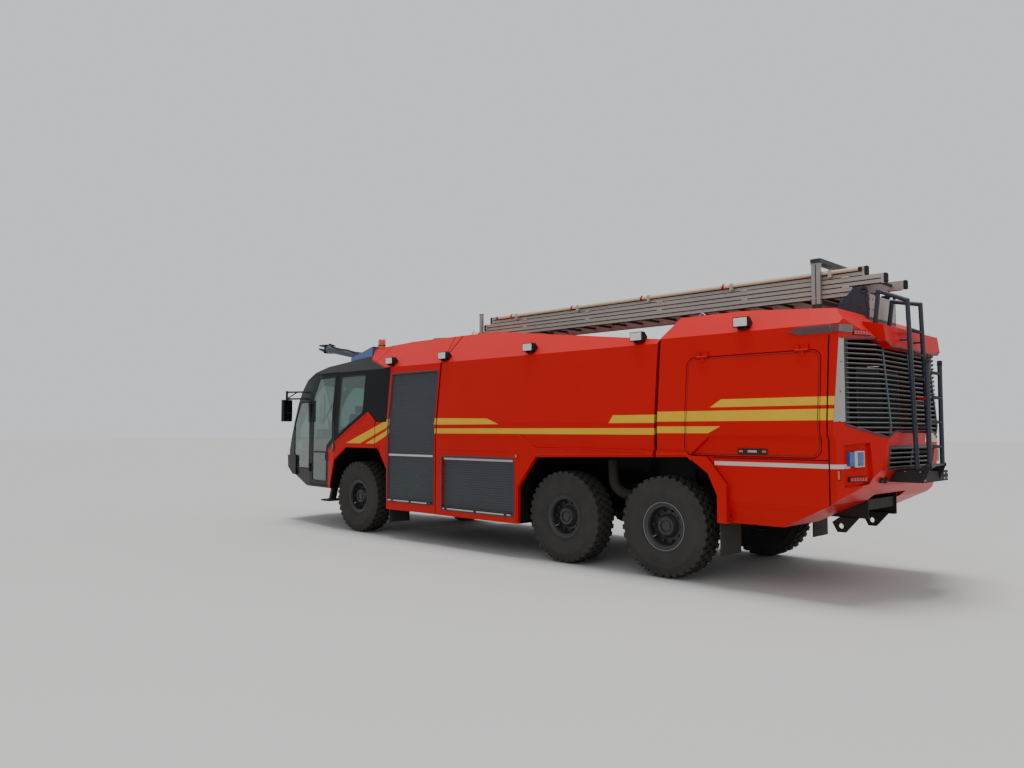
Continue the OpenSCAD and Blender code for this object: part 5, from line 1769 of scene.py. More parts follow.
@dataclass
class Rear:
    """Corner plates, grille frames, lamps, sockets and the towing gear."""

    def build(self) -> None:
        """Builds the trim of the rear."""
        self.skin = Skin("rear_module")
        self.all = Skin("rear_module", "rear_grille")
        for side, sign in SIDES:
            self.corner_plate(side, sign)
            self.lamps(side, sign)
            self.recess(side, sign)
        self.frames()
        self.sockets()
        self.jaw()
        self.ladders()

    def corner_plate(self, side: str, sign: float) -> None:
        """Builds the pale plate on the chamfered corner, with its screws.

        Args:
            side: The side's name.
            sign: 1 on the left and -1 on the right.
        """
        plate = Trim(f"corner_plate_{side}", "chassis", Paint.PLATE, "radiator_alloy")
        screws = Trim(f"corner_plate_screws_{side}", "chassis", Paint.PLASTIC)
        bottom, top = 1.885, 2.762
        rows = []
        for i in range(15):
            z = bottom + (top - bottom) * i / 14
            lean = max(0.0, z - 1.90) * 0.098
            outer, inner = 1.492 - lean, 1.345 - lean * 0.15
            rows.append([self.skin.back(sign * (outer + (inner - outer) * j / 4), z)
                         for j in range(5)])
        rows = [row for row in rows if all(row)]
        plate.plate(rows, 0.004)
        for i in (0, len(rows) // 3, 2 * len(rows) // 3, len(rows) - 1):
            point, normal = rows[i][2]
            screws.bolt(point + normal * 0.004, normal, 0.008, 0.004)
        plate.finish()
        screws.finish()

    def lamps(self, side: str, sign: float) -> None:
        """Builds the frame and the fins of the tail lamp strip, and the small square lamps.

        Args:
            side: The side's name.
            sign: 1 on the left and -1 on the right.
        """
        skin = Skin("tail_lamps", "rear_module")
        strip = Trim(f"tail_strip_frame_{side}", "chassis", Paint.BLUEGREY, "chassis_steel")
        fins = Trim(f"tail_strip_fins_{side}", "chassis", Paint.SMOKED, "red_lens")
        # Columns: piece, heights, first station, points beside, points behind, width, height
        for piece, levels, start, flank, behind, width, height in (
                (strip, (2.826, 2.907), -1.78, 18, 7, 0.008, 0.005),
                (fins, (2.846, 2.866, 2.886), -1.80, 17, 6, 0.006, 0.003)):
            for z in levels:
                hits = [skin.side(start - 0.02 * k, z, sign) for k in range(flank)]
                hits += [skin.back(sign * (1.36 - 0.02 * k), z) for k in range(behind)]
                piece.ribbon(hits, width, height, closed=False)
            piece.finish()
        glow = Trim(f"led_lamps_{side}", "chassis", Paint.RED_LENS)
        rim = Trim(f"led_lamp_rims_{side}", "chassis", Paint.PLASTIC)
        for y0, y1, z0, z1 in ((1.005, 1.22, 2.814, 2.846), (1.065, 1.275, 1.266, 1.298)):
            cell = (y1 - y0) / 12
            for k in range(6):
                point, _ = skin.back(sign * (y0 + (2 * k + 1) * cell), (z0 + z1) / 2)
                glow.box((-0.005, 0.002 - cell, -0.012), (0.006, cell - 0.002, 0.012), point)
            ring = dense(rect(y0 - 0.006, z0 - 0.008, y1 + 0.006, z1 + 0.008), 0.04)
            rim.ribbon([skin.back(sign * y, z) for y, z in ring], 0.010, 0.008)
        glow.finish(bevel=0.002)
        rim.finish()

    def recess(self, side: str, sign: float) -> None:
        """Builds the rim and the ribs of the square corner lamp.

        Args:
            side: The side's name.
            sign: 1 on the left and -1 on the right.
        """
        skin = Skin("rear_module", "corner_lamps")
        rim = Trim(f"corner_lamp_rims_{side}", "chassis", Paint.STRIP, "shutter_alloy")
        for y0, y1, z0, z1 in ((1.102, 1.114, 1.412, 1.578), (1.286, 1.298, 1.412, 1.578),
                               (1.102, 1.298, 1.412, 1.424), (1.102, 1.298, 1.566, 1.578)):
            rim.box(at(-2.328, sign * y0, z0), at(-2.300, sign * y1, z1))
        ribs = Trim(f"corner_lamp_ribs_{side}", "chassis", Paint.BLUE_LENS)
        for k in range(4):
            z = 1.45 + 0.03 * k
            ribs.ribbon([skin.back(sign * (1.12 + 0.02 * j), z) for j in range(9)], 0.008, 0.003,
                        closed=False)
        rim.finish(bevel=0.004)
        ribs.finish()

    def frames(self) -> None:
        """Builds the frames of both air outlets and the posts before the slats."""
        rim = Trim("grille_frame", "chassis", Paint.GREY)
        half = [(0.0, 1.786), (0.606, 1.786), (0.782, 1.716), (1.338, 1.850), (1.338, 2.757),
                (0.925, 2.784), (0.745, 2.703)]
        outline = half + [(-y, z) for y, z in half[:0:-1]]
        rim.ribbon([self.skin.back(y, z) for y, z in dense(outline, 0.04)], 0.020, 0.006)
        low = rect(-0.712, 1.363, 0.712, 1.622)
        rim.ribbon([self.skin.back(y, z) for y, z in dense(low, 0.04)], 0.020, 0.006)
        rim.finish()
        post = Trim("grille_posts", "chassis", Paint.BLUEGREY, "chassis_steel")
        for y, z0, z1 in ((0.75, 1.76, 2.68), (-0.75, 1.76, 2.68), (0.0, 1.82, 2.68)):
            post.ribbon([self.all.back(y, z0 + (z1 - z0) * k / 30) for k in range(31)],
                        0.030, 0.010, closed=False)
        post.finish()

    def sockets(self) -> None:
        """Builds the trailer sockets, the air couplings and the blank number plate."""
        fit = Trim("rear_sockets", "chassis", Paint.PLASTIC)
        for y, z, r in ((0.62, 1.255, 0.030), (0.74, 1.255, 0.022), (-0.55, 1.255, 0.030),
                        (-0.67, 1.255, 0.022)):
            p = self.skin.back(y, z)[0]
            fit.spin([(AXIS, 0.006), (r + 0.008, 0.006), (r + 0.008, -0.004), (r, -0.030),
                      (AXIS, -0.034)], p, 0, 24)
            fit.box((-0.036, -r * 0.7, r * 0.6), (-0.004, r * 0.7, r * 1.1), p)
        fit.finish()
        plate = Trim("rear_plate", "chassis", Paint.CREAM, "lamp_white")
        plate.plate([[self.skin.back(-0.36 - 0.07 * j, z) for j in range(8)]
                     for z in (1.665, 1.70, 1.735, 1.765)], 0.004)
        plate.finish()

    def jaw(self) -> None:
        """Builds the pin of the towing jaw, the step's tread and its bolts."""
        pin = Trim("tow_pin", "chassis", Paint.BRIGHT, "chassis_steel")
        o = at(-2.64, 0.19, 1.236)
        pin.spin([(AXIS, 0.0), (0.023, 0.0), (0.023, 0.10), (0.036, 0.104), (0.036, 0.120),
                  (AXIS, 0.124)], o, 2, 24)
        pin.tube([(0.03, -0.02, 0.116), (0.03, 0, 0.136), (0.03, 0.02, 0.116)], 0.004, 8, origin=o)
        pin.finish()
        grip = Trim("cleat", "chassis", Paint.TREAD)
        grip.box((-0.15, -0.006, 0.0), (0.15, 0.006, 0.006))
        mesh = REPEAT.run(grip, 5, step=(0, -0.040, 0), place=at(-2.52, -0.17, 1.345))
        join("rear_step_cleats", "chassis", Paint.TREAD, (mesh,), slot="chassis_steel")
        bolts = Trim("rear_step_bolts", "chassis", Paint.BRIGHT, "chassis_steel")
        for y in (-0.32, -0.22, 0.43):
            for z in (1.26, 1.315):
                bolts.bolt(at(-2.70, y, z), (-1, 0, 0), 0.012, 0.010)
        for y in (-0.33, 0.44):
            for rear in (-2.66, -2.50):
                bolts.bolt(at(rear, y, 1.345), (0, 0, 1), 0.011, 0.008)
        bolts.finish()

    def ladders(self) -> None:
        """Builds rung grips, end caps and the latch of the access ladders."""
        rung = [(0.0145, -0.13), (0.0185, -0.125), (0.0185, 0.125), (0.0145, 0.13)]
        grips = Trim("access_rung_grips", "chassis", Paint.FLAP)
        for k in range(6):
            o = at(-2.612 + 0.009 * k, 0.19, 1.56 + 0.27 * k)
            grips.spin(rung, o, 1, 14)
            for y in (-0.118 + 0.032 * j for j in range(8)):
                grips.spin([(0.0150, y), (0.0205, y + 0.006), (0.0150, y + 0.012)], o, 1, 12)
        grips.finish()
        low = Trim("folding_rung_grips", "fold_ladder", Paint.FLAP)
        caps = Trim("folding_rail_caps", "fold_ladder", Paint.FLAP)
        for k in range(4):
            low.spin(rung, at(-2.745, 0.19, 1.62 + 0.27 * k), 1, 14)
        for y in (-0.02, 0.40):
            caps.spin([(AXIS, 0.012), (0.020, 0.010), (0.0275, 0.0), (0.0275, -0.05),
                       (0.0255, -0.05), (0.0255, -0.002), (AXIS, -0.002)], at(-2.745, y, 2.570), 2,
                      20)
        low.finish()
        caps.finish()
        clip = Trim("folding_ladder_latch", "chassis", Paint.RED)
        clip.box(at(-2.66, 0.150, 2.135), at(-2.58, 0.230, 2.165))
        clip.finish(bevel=0.004)


# ---------------------------------------------------------------- roof equipment

@dataclass
class RoofLadder:
    """Caps, profile ribs, red clips, pulleys and the trim of the gantries."""

    rows: tuple[tuple[float, float, float, float], ...] = (
        (0.350, 3.360, 4.420, -1.960), (0.330, 3.478, 4.290, -2.310), (0.300, 3.596, 4.170, -2.085))
    height: float = 0.108
    wide: float = 0.032

    def build(self) -> None:
        """Builds the trim of the ladder stack and of its rack."""
        caps = Trim("ladder_rail_caps", "ladder_stack", Paint.FLAP)
        ribs = Trim("ladder_rail_ribs", "ladder_stack", Paint.LADDER)
        grooves = Trim("ladder_rail_grooves", "ladder_stack", Paint.STEEL, "ladder_alloy")
        top = self.height + 0.006
        cap = rounded(rect(0.0, 0.0, 0.045, top), 0.03, 4)
        for half, z, front, rear in self.rows:
            for _, sign in SIDES:
                for x, way in ((rear, -1.0), (front, 1.0)):
                    base = at(x - way * 0.022, 0, z - 0.003)
                    caps.prism([(base.x + way * a, base.z + b) for a, b in cap], 1,
                               sign * (half - self.wide - 0.003), sign * (half + 0.003))
                # Columns: piece, heights, depth into the rail, height above it, half width
                for piece, levels, sunk, out, tall in (
                        (ribs, (0.012, 0.040, 0.070, 0.098), 0.0, 0.004, 0.004),
                        (grooves, (-0.001, 0.053), 0.004, 0.0015, 0.006)):
                    for dz in levels:
                        piece.box(at(rear + 0.05, sign * (half - sunk), z + dz - tall),
                                  at(front - 0.05, sign * (half + out), z + dz + tall))
        caps.finish(bevel=0.004)
        ribs.finish(bevel=0.0015)
        grooves.finish()
        grips = []
        for half, z, front, rear in self.rows:
            form = Trim("grip", "ladder_stack", Paint.FLAP)
            form.spin([(0.0165, -half + 0.06), (0.0190, -half + 0.066), (0.0190, half - 0.066),
                       (0.0165, half - 0.06)],
                      ORIGIN, 1, 12)
            count = int((front - 0.10 - rear - 0.15) / 0.30) + 1
            grips.append(REPEAT.run(form, count, step=(0.30, 0, 0),
                                    place=at(rear + 0.15, 0, z + self.height / 2)))
        join("ladder_rung_grips", "ladder_stack", Paint.FLAP, grips, slot="ladder_alloy")
        self.poles()
        self.rack()

    def poles(self) -> None:
        """Builds the sleeves of the prop poles, their red clips and the pulleys."""
        z = 3.360 + 2 * 0.118 + 0.075
        sleeve = Trim("prop_poles", "ladder_stack", Paint.CREAM, "ladder_alloy")
        clips = Trim("prop_pole_clips", "ladder_stack", Paint.RED)
        ends = Trim("prop_pole_ends", "ladder_stack", Paint.FLAP)
        for _, sign in SIDES:
            y = sign * 0.340
            sleeve.tube([at(-2.035, y, z), at(3.96, y, z)], 0.0215, 16)
            for x in (-2.045, 3.955):
                ends.tube([at(x, y, z), at(x + 0.03, y, z)], 0.026, 16)
            for k in range(5):
                x = -1.68 + 1.3 * k
                clips.spin(rect(0.0218, -0.016, 0.0275, 0.016), at(x + 0.12, y, z), 0, 18)
                clips.box(at(x + 0.106, y - 0.006, z + 0.024), at(x + 0.134, y + 0.006, z + 0.040))
        sleeve.finish()
        clips.finish(bevel=0.001)
        ends.finish(bevel=0.002)
        wheels = Trim("ladder_pulleys", "ladder_stack", Paint.PLASTIC)
        for x, row in ((3.90, 2), (-1.80, 1), (3.70, 1)):
            half, base, _, _ = self.rows[row]
            for _, sign in SIDES:
                wheels.spin([(0.010, -0.010), (0.034, -0.010), (0.028, 0.0), (0.034, 0.010),
                             (0.010, 0.010)],
                            at(x, sign * (half - self.wide - 0.014), base + 0.075), 1, 20)
        wheels.finish()

    def rack(self) -> None:
        """Builds the bright posts, caps and bolts of the gantries, and the bracket's edges."""
        posts = Trim("gantry_posts", "chassis", Paint.PROFILE, "ladder_alloy")
        for _, sign in SIDES:
            y = sign * 0.385
            for x in (-1.584, -1.524):
                posts.box(at(x, y - 0.024, 3.30), at(x + 0.048, y + 0.024, 3.80))
            for z in (3.36, 3.78):
                posts.box(at(-1.592, y - 0.027, z), at(-1.468, y + 0.027, z + 0.014))
            posts.box(at(4.290, y - 0.024, 3.37), at(4.350, y + 0.024, 3.77))
            posts.box(at(4.284, y - 0.028, 3.755), at(4.356, y + 0.028, 3.775))
        posts.box(at(-1.596, -0.418, 3.846), at(-1.464, 0.418, 3.852))
        posts.finish(bevel=0.003)
        pads = Trim("gantry_rollers", "chassis", Paint.FLAP)
        for x in (-1.53, 4.32):
            for _, sign in SIDES:
                pads.spin([(0.006, -0.05), (0.016, -0.046), (0.016, 0.046), (0.006, 0.05)],
                          at(x, sign * 0.30, 3.336), 1, 16)
        pads.finish()
        bolts = Trim("bracket_bolts", "chassis", Paint.GREY, "chassis_steel")
        for _, sign in SIDES:
            for x, z in ((-1.95, 3.30), (-1.85, 3.27), (-2.05, 3.22), (-1.62, 3.17), (-1.75, 3.17)):
                bolts.bolt(at(x, sign * 0.435, z), (0, sign, 0), 0.010, 0.008)
        for y in (-0.40, -0.30, 0.30, 0.40):
            for z in (3.18, 3.30):
                bolts.bolt(at(-2.15, y, z), (-1, 0, 0), 0.011, 0.008)
        bolts.finish()
        bush = Trim("bracket_bushes", "chassis", Paint.PLASTIC, "chassis_steel")
        for _, sign in SIDES:
            bush.spin(rect(0.0225, -0.004, 0.034, 0.006), at(-2.10, sign * 0.435, 3.395), 1, 28)
        bush.finish()
        face = Trim("cross_plate_face", "chassis", Paint.PLATE, "chassis_steel")
        face.box(at(-2.152, -0.40, 3.09), at(-2.150, 0.40, 3.338))
        face.box(at(-2.156, -0.40, 3.330), at(-2.124, 0.40, 3.353))
        face.finish(bevel=0.001)


@dataclass
class Turret:
    """Gear ring, hoses, deflector teeth and lamp of the roof turret."""

    def build(self) -> None:
        """Builds the trim of the three bodies of the turret."""
        x, pivot = 7.70, 3.20
        tooth = Trim("tooth", "chassis", Paint.STEEL)
        tooth.box((0.188, -0.006, 0.0), (0.204, 0.006, 0.022))
        teeth = REPEAT.run(tooth, 72, turn=(0, 0, 2 * math.pi / 72), place=at(x, 0, 3.034))
        ring = Trim("ring", "chassis", Paint.STEEL)
        ring.spin(rect(0.182, 0.0, 0.191, 0.024), at(x, 0, 3.033), 2, 72)
        join("turret_gear_ring", "chassis", Paint.STEEL, (teeth, to_mesh(ring.bm, "ring")))
        bolts = Trim("turret_bolts", "turret_turntable", Paint.BRIGHT, "chassis_steel")
        for c, s in circle(12):
            bolts.bolt(at(x + 0.150 * c, 0.150 * s, 3.110), (0, 0, 1), 0.010, 0.009)
        for _, sign in SIDES:
            bolts.spin(rect(0.0265, 0.0, 0.046, sign * 0.007), at(x, sign * 0.115, pivot), 1, 24)
        bolts.finish()
        motor = Trim("turret_motor", "turret_turntable", Paint.PLASTIC)
        motor.box(at(x - 0.150, -0.050, 3.110), at(x - 0.085, 0.050, 3.175))
        motor.tube([at(x - 0.118, 0, 3.170), at(x - 0.118, 0, 3.235)], 0.028, 18)
        motor.finish(bevel=0.005)
        self.barrel(x, pivot)

    def barrel(self, x: float, pivot: float) -> None:
        """Builds clamps, hose and the tapering teeth along the barrel.

        Args:
            x: Station of the pivot.
            pivot: Height of the pivot.
        """
        tilt = Matrix.Translation(at(x, 0, pivot)) @ Matrix.Rotation(-math.radians(10.8), 4, "Y")
        rings = Trim("barrel_clamps", "turret_monitor", Paint.PLASTIC)
        for station, r in ((0.40, 0.076), (0.72, 0.070), (1.10, 0.070), (1.48, 0.070),
                           (1.88, 0.088), (2.00, 0.088)):
            rings.spin([(r - 0.012, -0.014), (r, -0.010), (r, 0.010), (r - 0.012, 0.014)],
                       (station, 0, 0), 0, 32)
        rings.move(tilt)
        rings.finish()
        hose = Trim("barrel_hose", "turret_monitor", Paint.FLAP)
        hose.tube([(0.06 + 0.09 * k, 0.050 + 0.012 * math.sin(k * 0.9),
                    0.072 + 0.006 * math.cos(k)) for k in range(21)],
                  0.011, 10)
        hose.tube([(0.30 + 0.12 * k, -0.058, 0.060) for k in range(13)], 0.008, 8)
        hose.move(tilt)
        hose.finish()
        sleeve = Trim("barrel_sleeve", "turret_monitor", Paint.BLUEGREY)
        sleeve.spin([(0.040, 0.30), (0.064, 0.30), (0.071, 0.36), (0.071, 1.74), (0.086, 1.80),
                     (0.090, 1.86), (0.090, 1.955), (0.040, 1.955)], ORIGIN, 0, 36)
        sleeve.move(tilt)
        sleeve.finish()
        tooth = Trim("deflector_teeth", "turret_monitor", Paint.PLASTIC)
        for s in (1, -1):
            for y in (-0.022, 0.022):
                outline = [(1.98, s * 0.026), (2.300, s * 0.046), (2.300, s * 0.054),
                           (1.98, s * 0.098)]
                tooth.prism(outline, 1, y - 0.016, y + 0.016)
        tooth.box((1.955, -0.095, -0.100), (1.990, 0.095, 0.100))
        tooth.box((1.80, -0.020, 0.085), (1.96, 0.020, 0.112))
        tooth.tube([(1.72, 0, 0.10), (1.96, 0, 0.118)], 0.013, 12)
        tooth.spin(rect(0.046, 0.0, 0.056, 0.05), (1.985, 0, 0), 0, 32)
        tooth.move(tilt)
        tooth.finish(bevel=0.002)


@dataclass
class Beacons:
    """Domes, bases and ribs of the roof lamps."""

    def build(self) -> None:
        """Builds the fittings of the amber and blue lamps."""
        skin = Skin("beacons")
        base = Trim("beacon_frames", "chassis", Paint.PLASTIC)
        ribs = Trim("beacon_ribs", "chassis", Paint.BLUE_LENS)
        for _, sign in SIDES:
            outline = rect(6.53, 0.752, 7.185, 1.048)
            base.ribbon([skin.top(x, sign * y) for x, y in dense(outline, 0.04)], 0.016, 0.004)
            for k in range(9):
                x = 6.58 + 0.066 * k
                ribs.ribbon([skin.top(x, sign * (0.77 + 0.032 * j)) for j in range(9)], 0.010,
                            0.003, closed=False)
        base.finish()
        ribs.finish()
        low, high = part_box("roof_markers")
        cap = Trim("marker_caps", "chassis", Paint.RED_LENS)
        ring = Trim("marker_rings", "chassis", Paint.AMBER)
        foot = Trim("marker_feet", "chassis", Paint.PLASTIC)
        x = (low[0] + high[0]) / 2
        for _, sign in SIDES:
            y = sign * (high[1] - 0.065)
            cap.spin([(AXIS, 0.0), (0.062, 0.0), (0.067, -0.006), (0.067, -0.045), (0.0655, -0.045),
                      (0.0655, -0.004), (AXIS, -0.004)], (x, y, high[2] + 0.004), 2, 32)
            for k in range(3):
                z = high[2] - 0.055 - 0.014 * k
                ring.spin([(0.0652, -0.004), (0.068, 0.0), (0.0652, 0.004)], (x, y, z), 2, 32)
            foot.spin([(0.0655, 0.0), (0.074, 0.0), (0.074, 0.012), (0.0655, 0.016)],
                      (x, y, high[2] - 0.118), 2, 32)
        cap.finish()
        ring.finish()
        foot.finish()


# ---------------------------------------------------------------- inside the cab

def cushion(piece: Builder, low: Point, high: Point, lean: float = 0.0, puff: float = 0.018,
            channels: int = 0) -> None:
    """Adds a stuffed block with rounded edges, domed faces and sewn channels.

    Args:
        piece: The piece under construction.
        low: Lowest corner.
        high: Highest corner.
        lean: Shift along X from bottom to top.
        puff: How far the large faces swell.
        channels: Number of sewn channels across the width.
    """
    low, high = Vector(low), Vector(high)
    size, middle = high - low, (high + low) / 2
    # Radius of the edges as a share of the thickness, and depth of a channel
    radius, seam = 0.28, 0.010
    start = len(piece.bm.verts)
    made = bmesh.ops.create_cube(piece.bm, size=2.0)["verts"]
    edges = list({e for v in made for e in v.link_edges})
    bmesh.ops.subdivide_edges(piece.bm, edges=edges, cuts=13, use_grid_fill=True)
    piece.bm.verts.ensure_lookup_table()
    thin = min(range(3), key=lambda i: size[i])
    first, second = (i for i in range(3) if i != thin)
    for v in piece.bm.verts[start:]:
        p = v.co.copy()
        inner = [1 - radius * min(size) / size[i] for i in range(3)]
        core = Vector([max(-inner[i], min(inner[i], p[i])) * size[i] / 2 for i in range(3)])
        rest = Vector([p[i] * size[i] / 2 for i in range(3)]) - core
        q = core + rest.normalized() * (radius * min(size) / 2)
        dome = max((1 - abs(p[first]) ** 2.4) * (1 - abs(p[second]) ** 2.4), 0.0)
        q[thin] += math.copysign(puff * dome, p[thin])
        if channels:
            groove = abs(math.sin((p[1] * 0.5 + 0.5) * math.pi * channels)) ** 0.35
            q[thin] -= math.copysign(seam * (1 - groove) * dome, p[thin])
        q.x += lean * p[2] / 2
        v.co = middle + q


@dataclass
class Interior:
    """Seats, belts, steering wheel, consoles and crew gear."""

    seats: tuple[tuple[float, float, float], ...] = ((7.76, 0.48, 1.14), (7.76, -0.48, 1.14),
                                                     (6.50, 0.56, 1.54), (6.50, -0.56, 1.54))

    def build(self) -> None:
        """Builds what is seen through the cab's glass."""
        base = Trim("seat_bases", "chassis", Paint.PLASTIC)
        pads = Trim("seat_pads", "chassis", Paint.CLOTH)
        belts = Trim("seat_belts", "chassis", Paint.BELT, "seat_fabric")
        for x, y, z in self.seats:
            self.seat(base, pads, belts, x, y, z)
        base.finish(bevel=0.006)
        pad = pads.finish(subdivide=1, replaces=("cab_seats",))
        belts.finish()
        self.controls()
        self.gear()

    def seat(self, base: Trim, pads: Trim, belts: Trim, rear: float, y: float, z: float) -> None:
        """Builds one seat.

        Args:
            base: Piece of the seat frames.
            pads: Piece of the cushions.
            belts: Piece of the belts.
            rear: Station of the back rest.
            y: Middle of the seat.
            z: Height of its foot.
        """
        o = at(rear, y, z)
        base.box((0.06, -0.20, 0.0004), (0.44, 0.20, 0.05), o)
        base.box((0.10, -0.17, 0.05), (0.40, 0.17, 0.25), o)
        base.box((0.02, -0.22, 0.25), (0.47, 0.22, 0.295), o)
        wing = [(-0.055, 0.28), (0.09, 0.28), (0.075, 0.36), (-0.03, 0.80), (-0.095, 0.80)]
        for s in (1, -1):
            base.prism([(o.x + a, o.z + b) for a, b in wing], 1, o.y + s * 0.222, o.y + s * 0.238)
            base.tube([(-0.078, s * 0.07, 0.92), (-0.088, s * 0.07, 1.04)], 0.008, 10, origin=o)
        for k in range(6):
            base.box((0.075, -0.18 + 0.062 * k, 0.050), (0.430, -0.165 + 0.062 * k, 0.058), o)
        # Columns: corners, lean, swelling, channels
        for low, high, lean, puff, channels in (
                ((0.005, -0.232, 0.295), (0.492, 0.232, 0.385), 0.0, 0.014, 5),
                ((-0.082, -0.222, 0.392), (0.012, 0.222, 0.968), -0.06, 0.014, 5),
                ((-0.118, -0.125, 0.985), (-0.052, 0.125, 1.120), -0.008, 0.008, 0)):
            cushion(pads, o + Vector(low), o + Vector(high), lean, puff, channels)
        belts.tube([(-0.075, -0.19, 0.94), (0.012, -0.15, 0.80), (0.045, -0.02, 0.62),
                    (0.065, 0.12, 0.46), (0.090, 0.232, 0.36)], 0.022, 8, flat=0.14, origin=o)

    def controls(self) -> None:
        """Builds the steering wheel, the pods, the screens, the pedals and the turret's stick."""
        dash = Trim("dash_fittings", "chassis", Paint.PLASTIC)
        screen = Trim("dash_screens", "chassis", Paint.SCREEN, "dark_plastic")
        wheel = Trim("steering_wheel", "chassis", Paint.PLASTIC)
        hub = at(8.60, 0.48, 1.74)
        tilt = Matrix.Translation(hub) @ Matrix.Rotation(math.radians(-58), 4, "Y")
        ring = [(0.0, 0.215 * c, 0.215 * s) for c, s in circle(36)]
        wheel.tube(ring + ring[:1], 0.015, 10)
        wheel.spin([(AXIS, -0.022), (0.052, -0.016), (0.062, 0.0), (0.052, 0.016), (AXIS, 0.020)],
                   ORIGIN, 0, 28)
        for t in (0.25 * math.pi, 0.75 * math.pi, 1.5 * math.pi):
            wheel.tube([(0, r * math.cos(t), r * math.sin(t)) for r in (0.05, 0.212)], 0.014, 8,
                       flat=0.5)
        wheel.move(tilt)
        wheel.tube([hub, at(8.86, 0.48, 1.42)], 0.034, 14)
        wheel.finish()
        for y, w in ((0.48, 0.20), (0.0, 0.16), (-0.45, 0.15)):
            dash.box(at(8.895, y - w, 1.600), at(8.955, y + w, 1.800))
            screen.box(at(8.890, y - w + 0.014, 1.614), at(8.896, y + w - 0.014, 1.786))
            dash.box(at(8.880, y - w - 0.01, 1.798), at(8.960, y + w + 0.01, 1.812))
        knob = Trim("knob", "chassis", Paint.PLASTIC)
        knob.spin([(AXIS, -0.010), (0.009, -0.008), (0.011, 0.004), (AXIS, 0.004)], ORIGIN, 0, 12)
        knobs = REPEAT.run(knob, 14, step=(0, 0.062, 0), place=at(8.838, -0.40, 1.575))
        join("dash_knobs", "chassis", Paint.BRIGHT, (knobs,), slot="dark_plastic")
        dash.box(at(8.30, -0.11, 1.141), at(8.80, 0.11, 1.46))
        dash.box(at(8.10, -0.13, 1.44), at(8.66, 0.13, 1.475))
        dash.tube([at(8.30, 0.03, 1.47), at(8.29, 0.03, 1.60)], 0.009, 10)
        dash.spin([(AXIS, -0.03), (0.020, -0.02), (0.026, 0.01), (0.018, 0.05), (AXIS, 0.056)],
                  at(8.29, 0.03, 1.62), 2, 18)
        for y in (0.36, 0.48, 0.58):
            dash.box(at(8.845, y - 0.03, 1.20), at(8.865, y + 0.03, 1.30))
            dash.tube([at(8.855, y, 1.25), at(8.90, y, 1.33)], 0.008, 8)
        dash.box(at(7.55, -0.42, 2.860), at(8.05, 0.42, 2.905))
        for s in (1, -1):
            dash.tube([at(8.12, s * 1.06, 1.90), at(8.14, s * 1.02, 2.05), at(8.12, s * 1.02, 2.35),
                       at(8.08, s * 1.06, 2.48)],
                      0.016, 10)
        dash.finish(bevel=0.004)
        screen.finish(bevel=0.001)

    def gear(self) -> None:
        """Builds the breathing sets behind the crew and the floor's mat."""
        tank = Trim("breathing_sets", "chassis", Paint.AMBER_PAINT, "amber_lens")
        rack = Trim("breathing_racks", "chassis", Paint.PLASTIC)
        x, z = 6.05, 1.58
        for y in (-1.02, -0.20, 0.20, 1.02):
            tank.spin([(AXIS, 0.0), (0.045, 0.006), (0.072, 0.04), (0.072, 0.42), (0.05, 0.47),
                       (0.022, 0.49), (0.022, 0.53), (AXIS, 0.53)], at(x, y, z + 0.02), 2, 28)
            rack.box(at(x - 0.12, y - 0.10, z - 0.035), at(x + 0.09, y + 0.10, z + 0.015))
            for dz in (0.14, 0.34):
                rack.spin(rect(0.073, -0.014, 0.080, 0.014), at(x, y, z + dz), 2, 28)
                rack.box(at(x - 0.12, y - 0.012, z + dz - 0.014),
                         at(x - 0.07, y + 0.012, z + dz + 0.014))
            rack.box(at(x - 0.14, y - 0.05, z - 0.03), at(x - 0.12, y + 0.05, z + 0.50))
        tank.finish()
        rack.finish(bevel=0.003)
        mat = Trim("cab_floor_mat", "chassis", Paint.FLAP)
        mat.box(at(7.45, -0.95, 1.1405), at(8.75, 0.95, 1.150))
        mat.finish(bevel=0.003)
        rib = Trim("rib", "chassis", Paint.FLAP)
        rib.box((-0.62, -0.004, 0.0), (0.62, 0.004, 0.004))
        mesh = REPEAT.run(rib, 30, step=(0, 0.062, 0), place=at(8.10, -0.90, 1.150))
        join("cab_floor_ribs", "chassis", Paint.FLAP, (mesh,))


# ---------------------------------------------------------------- engine and underside

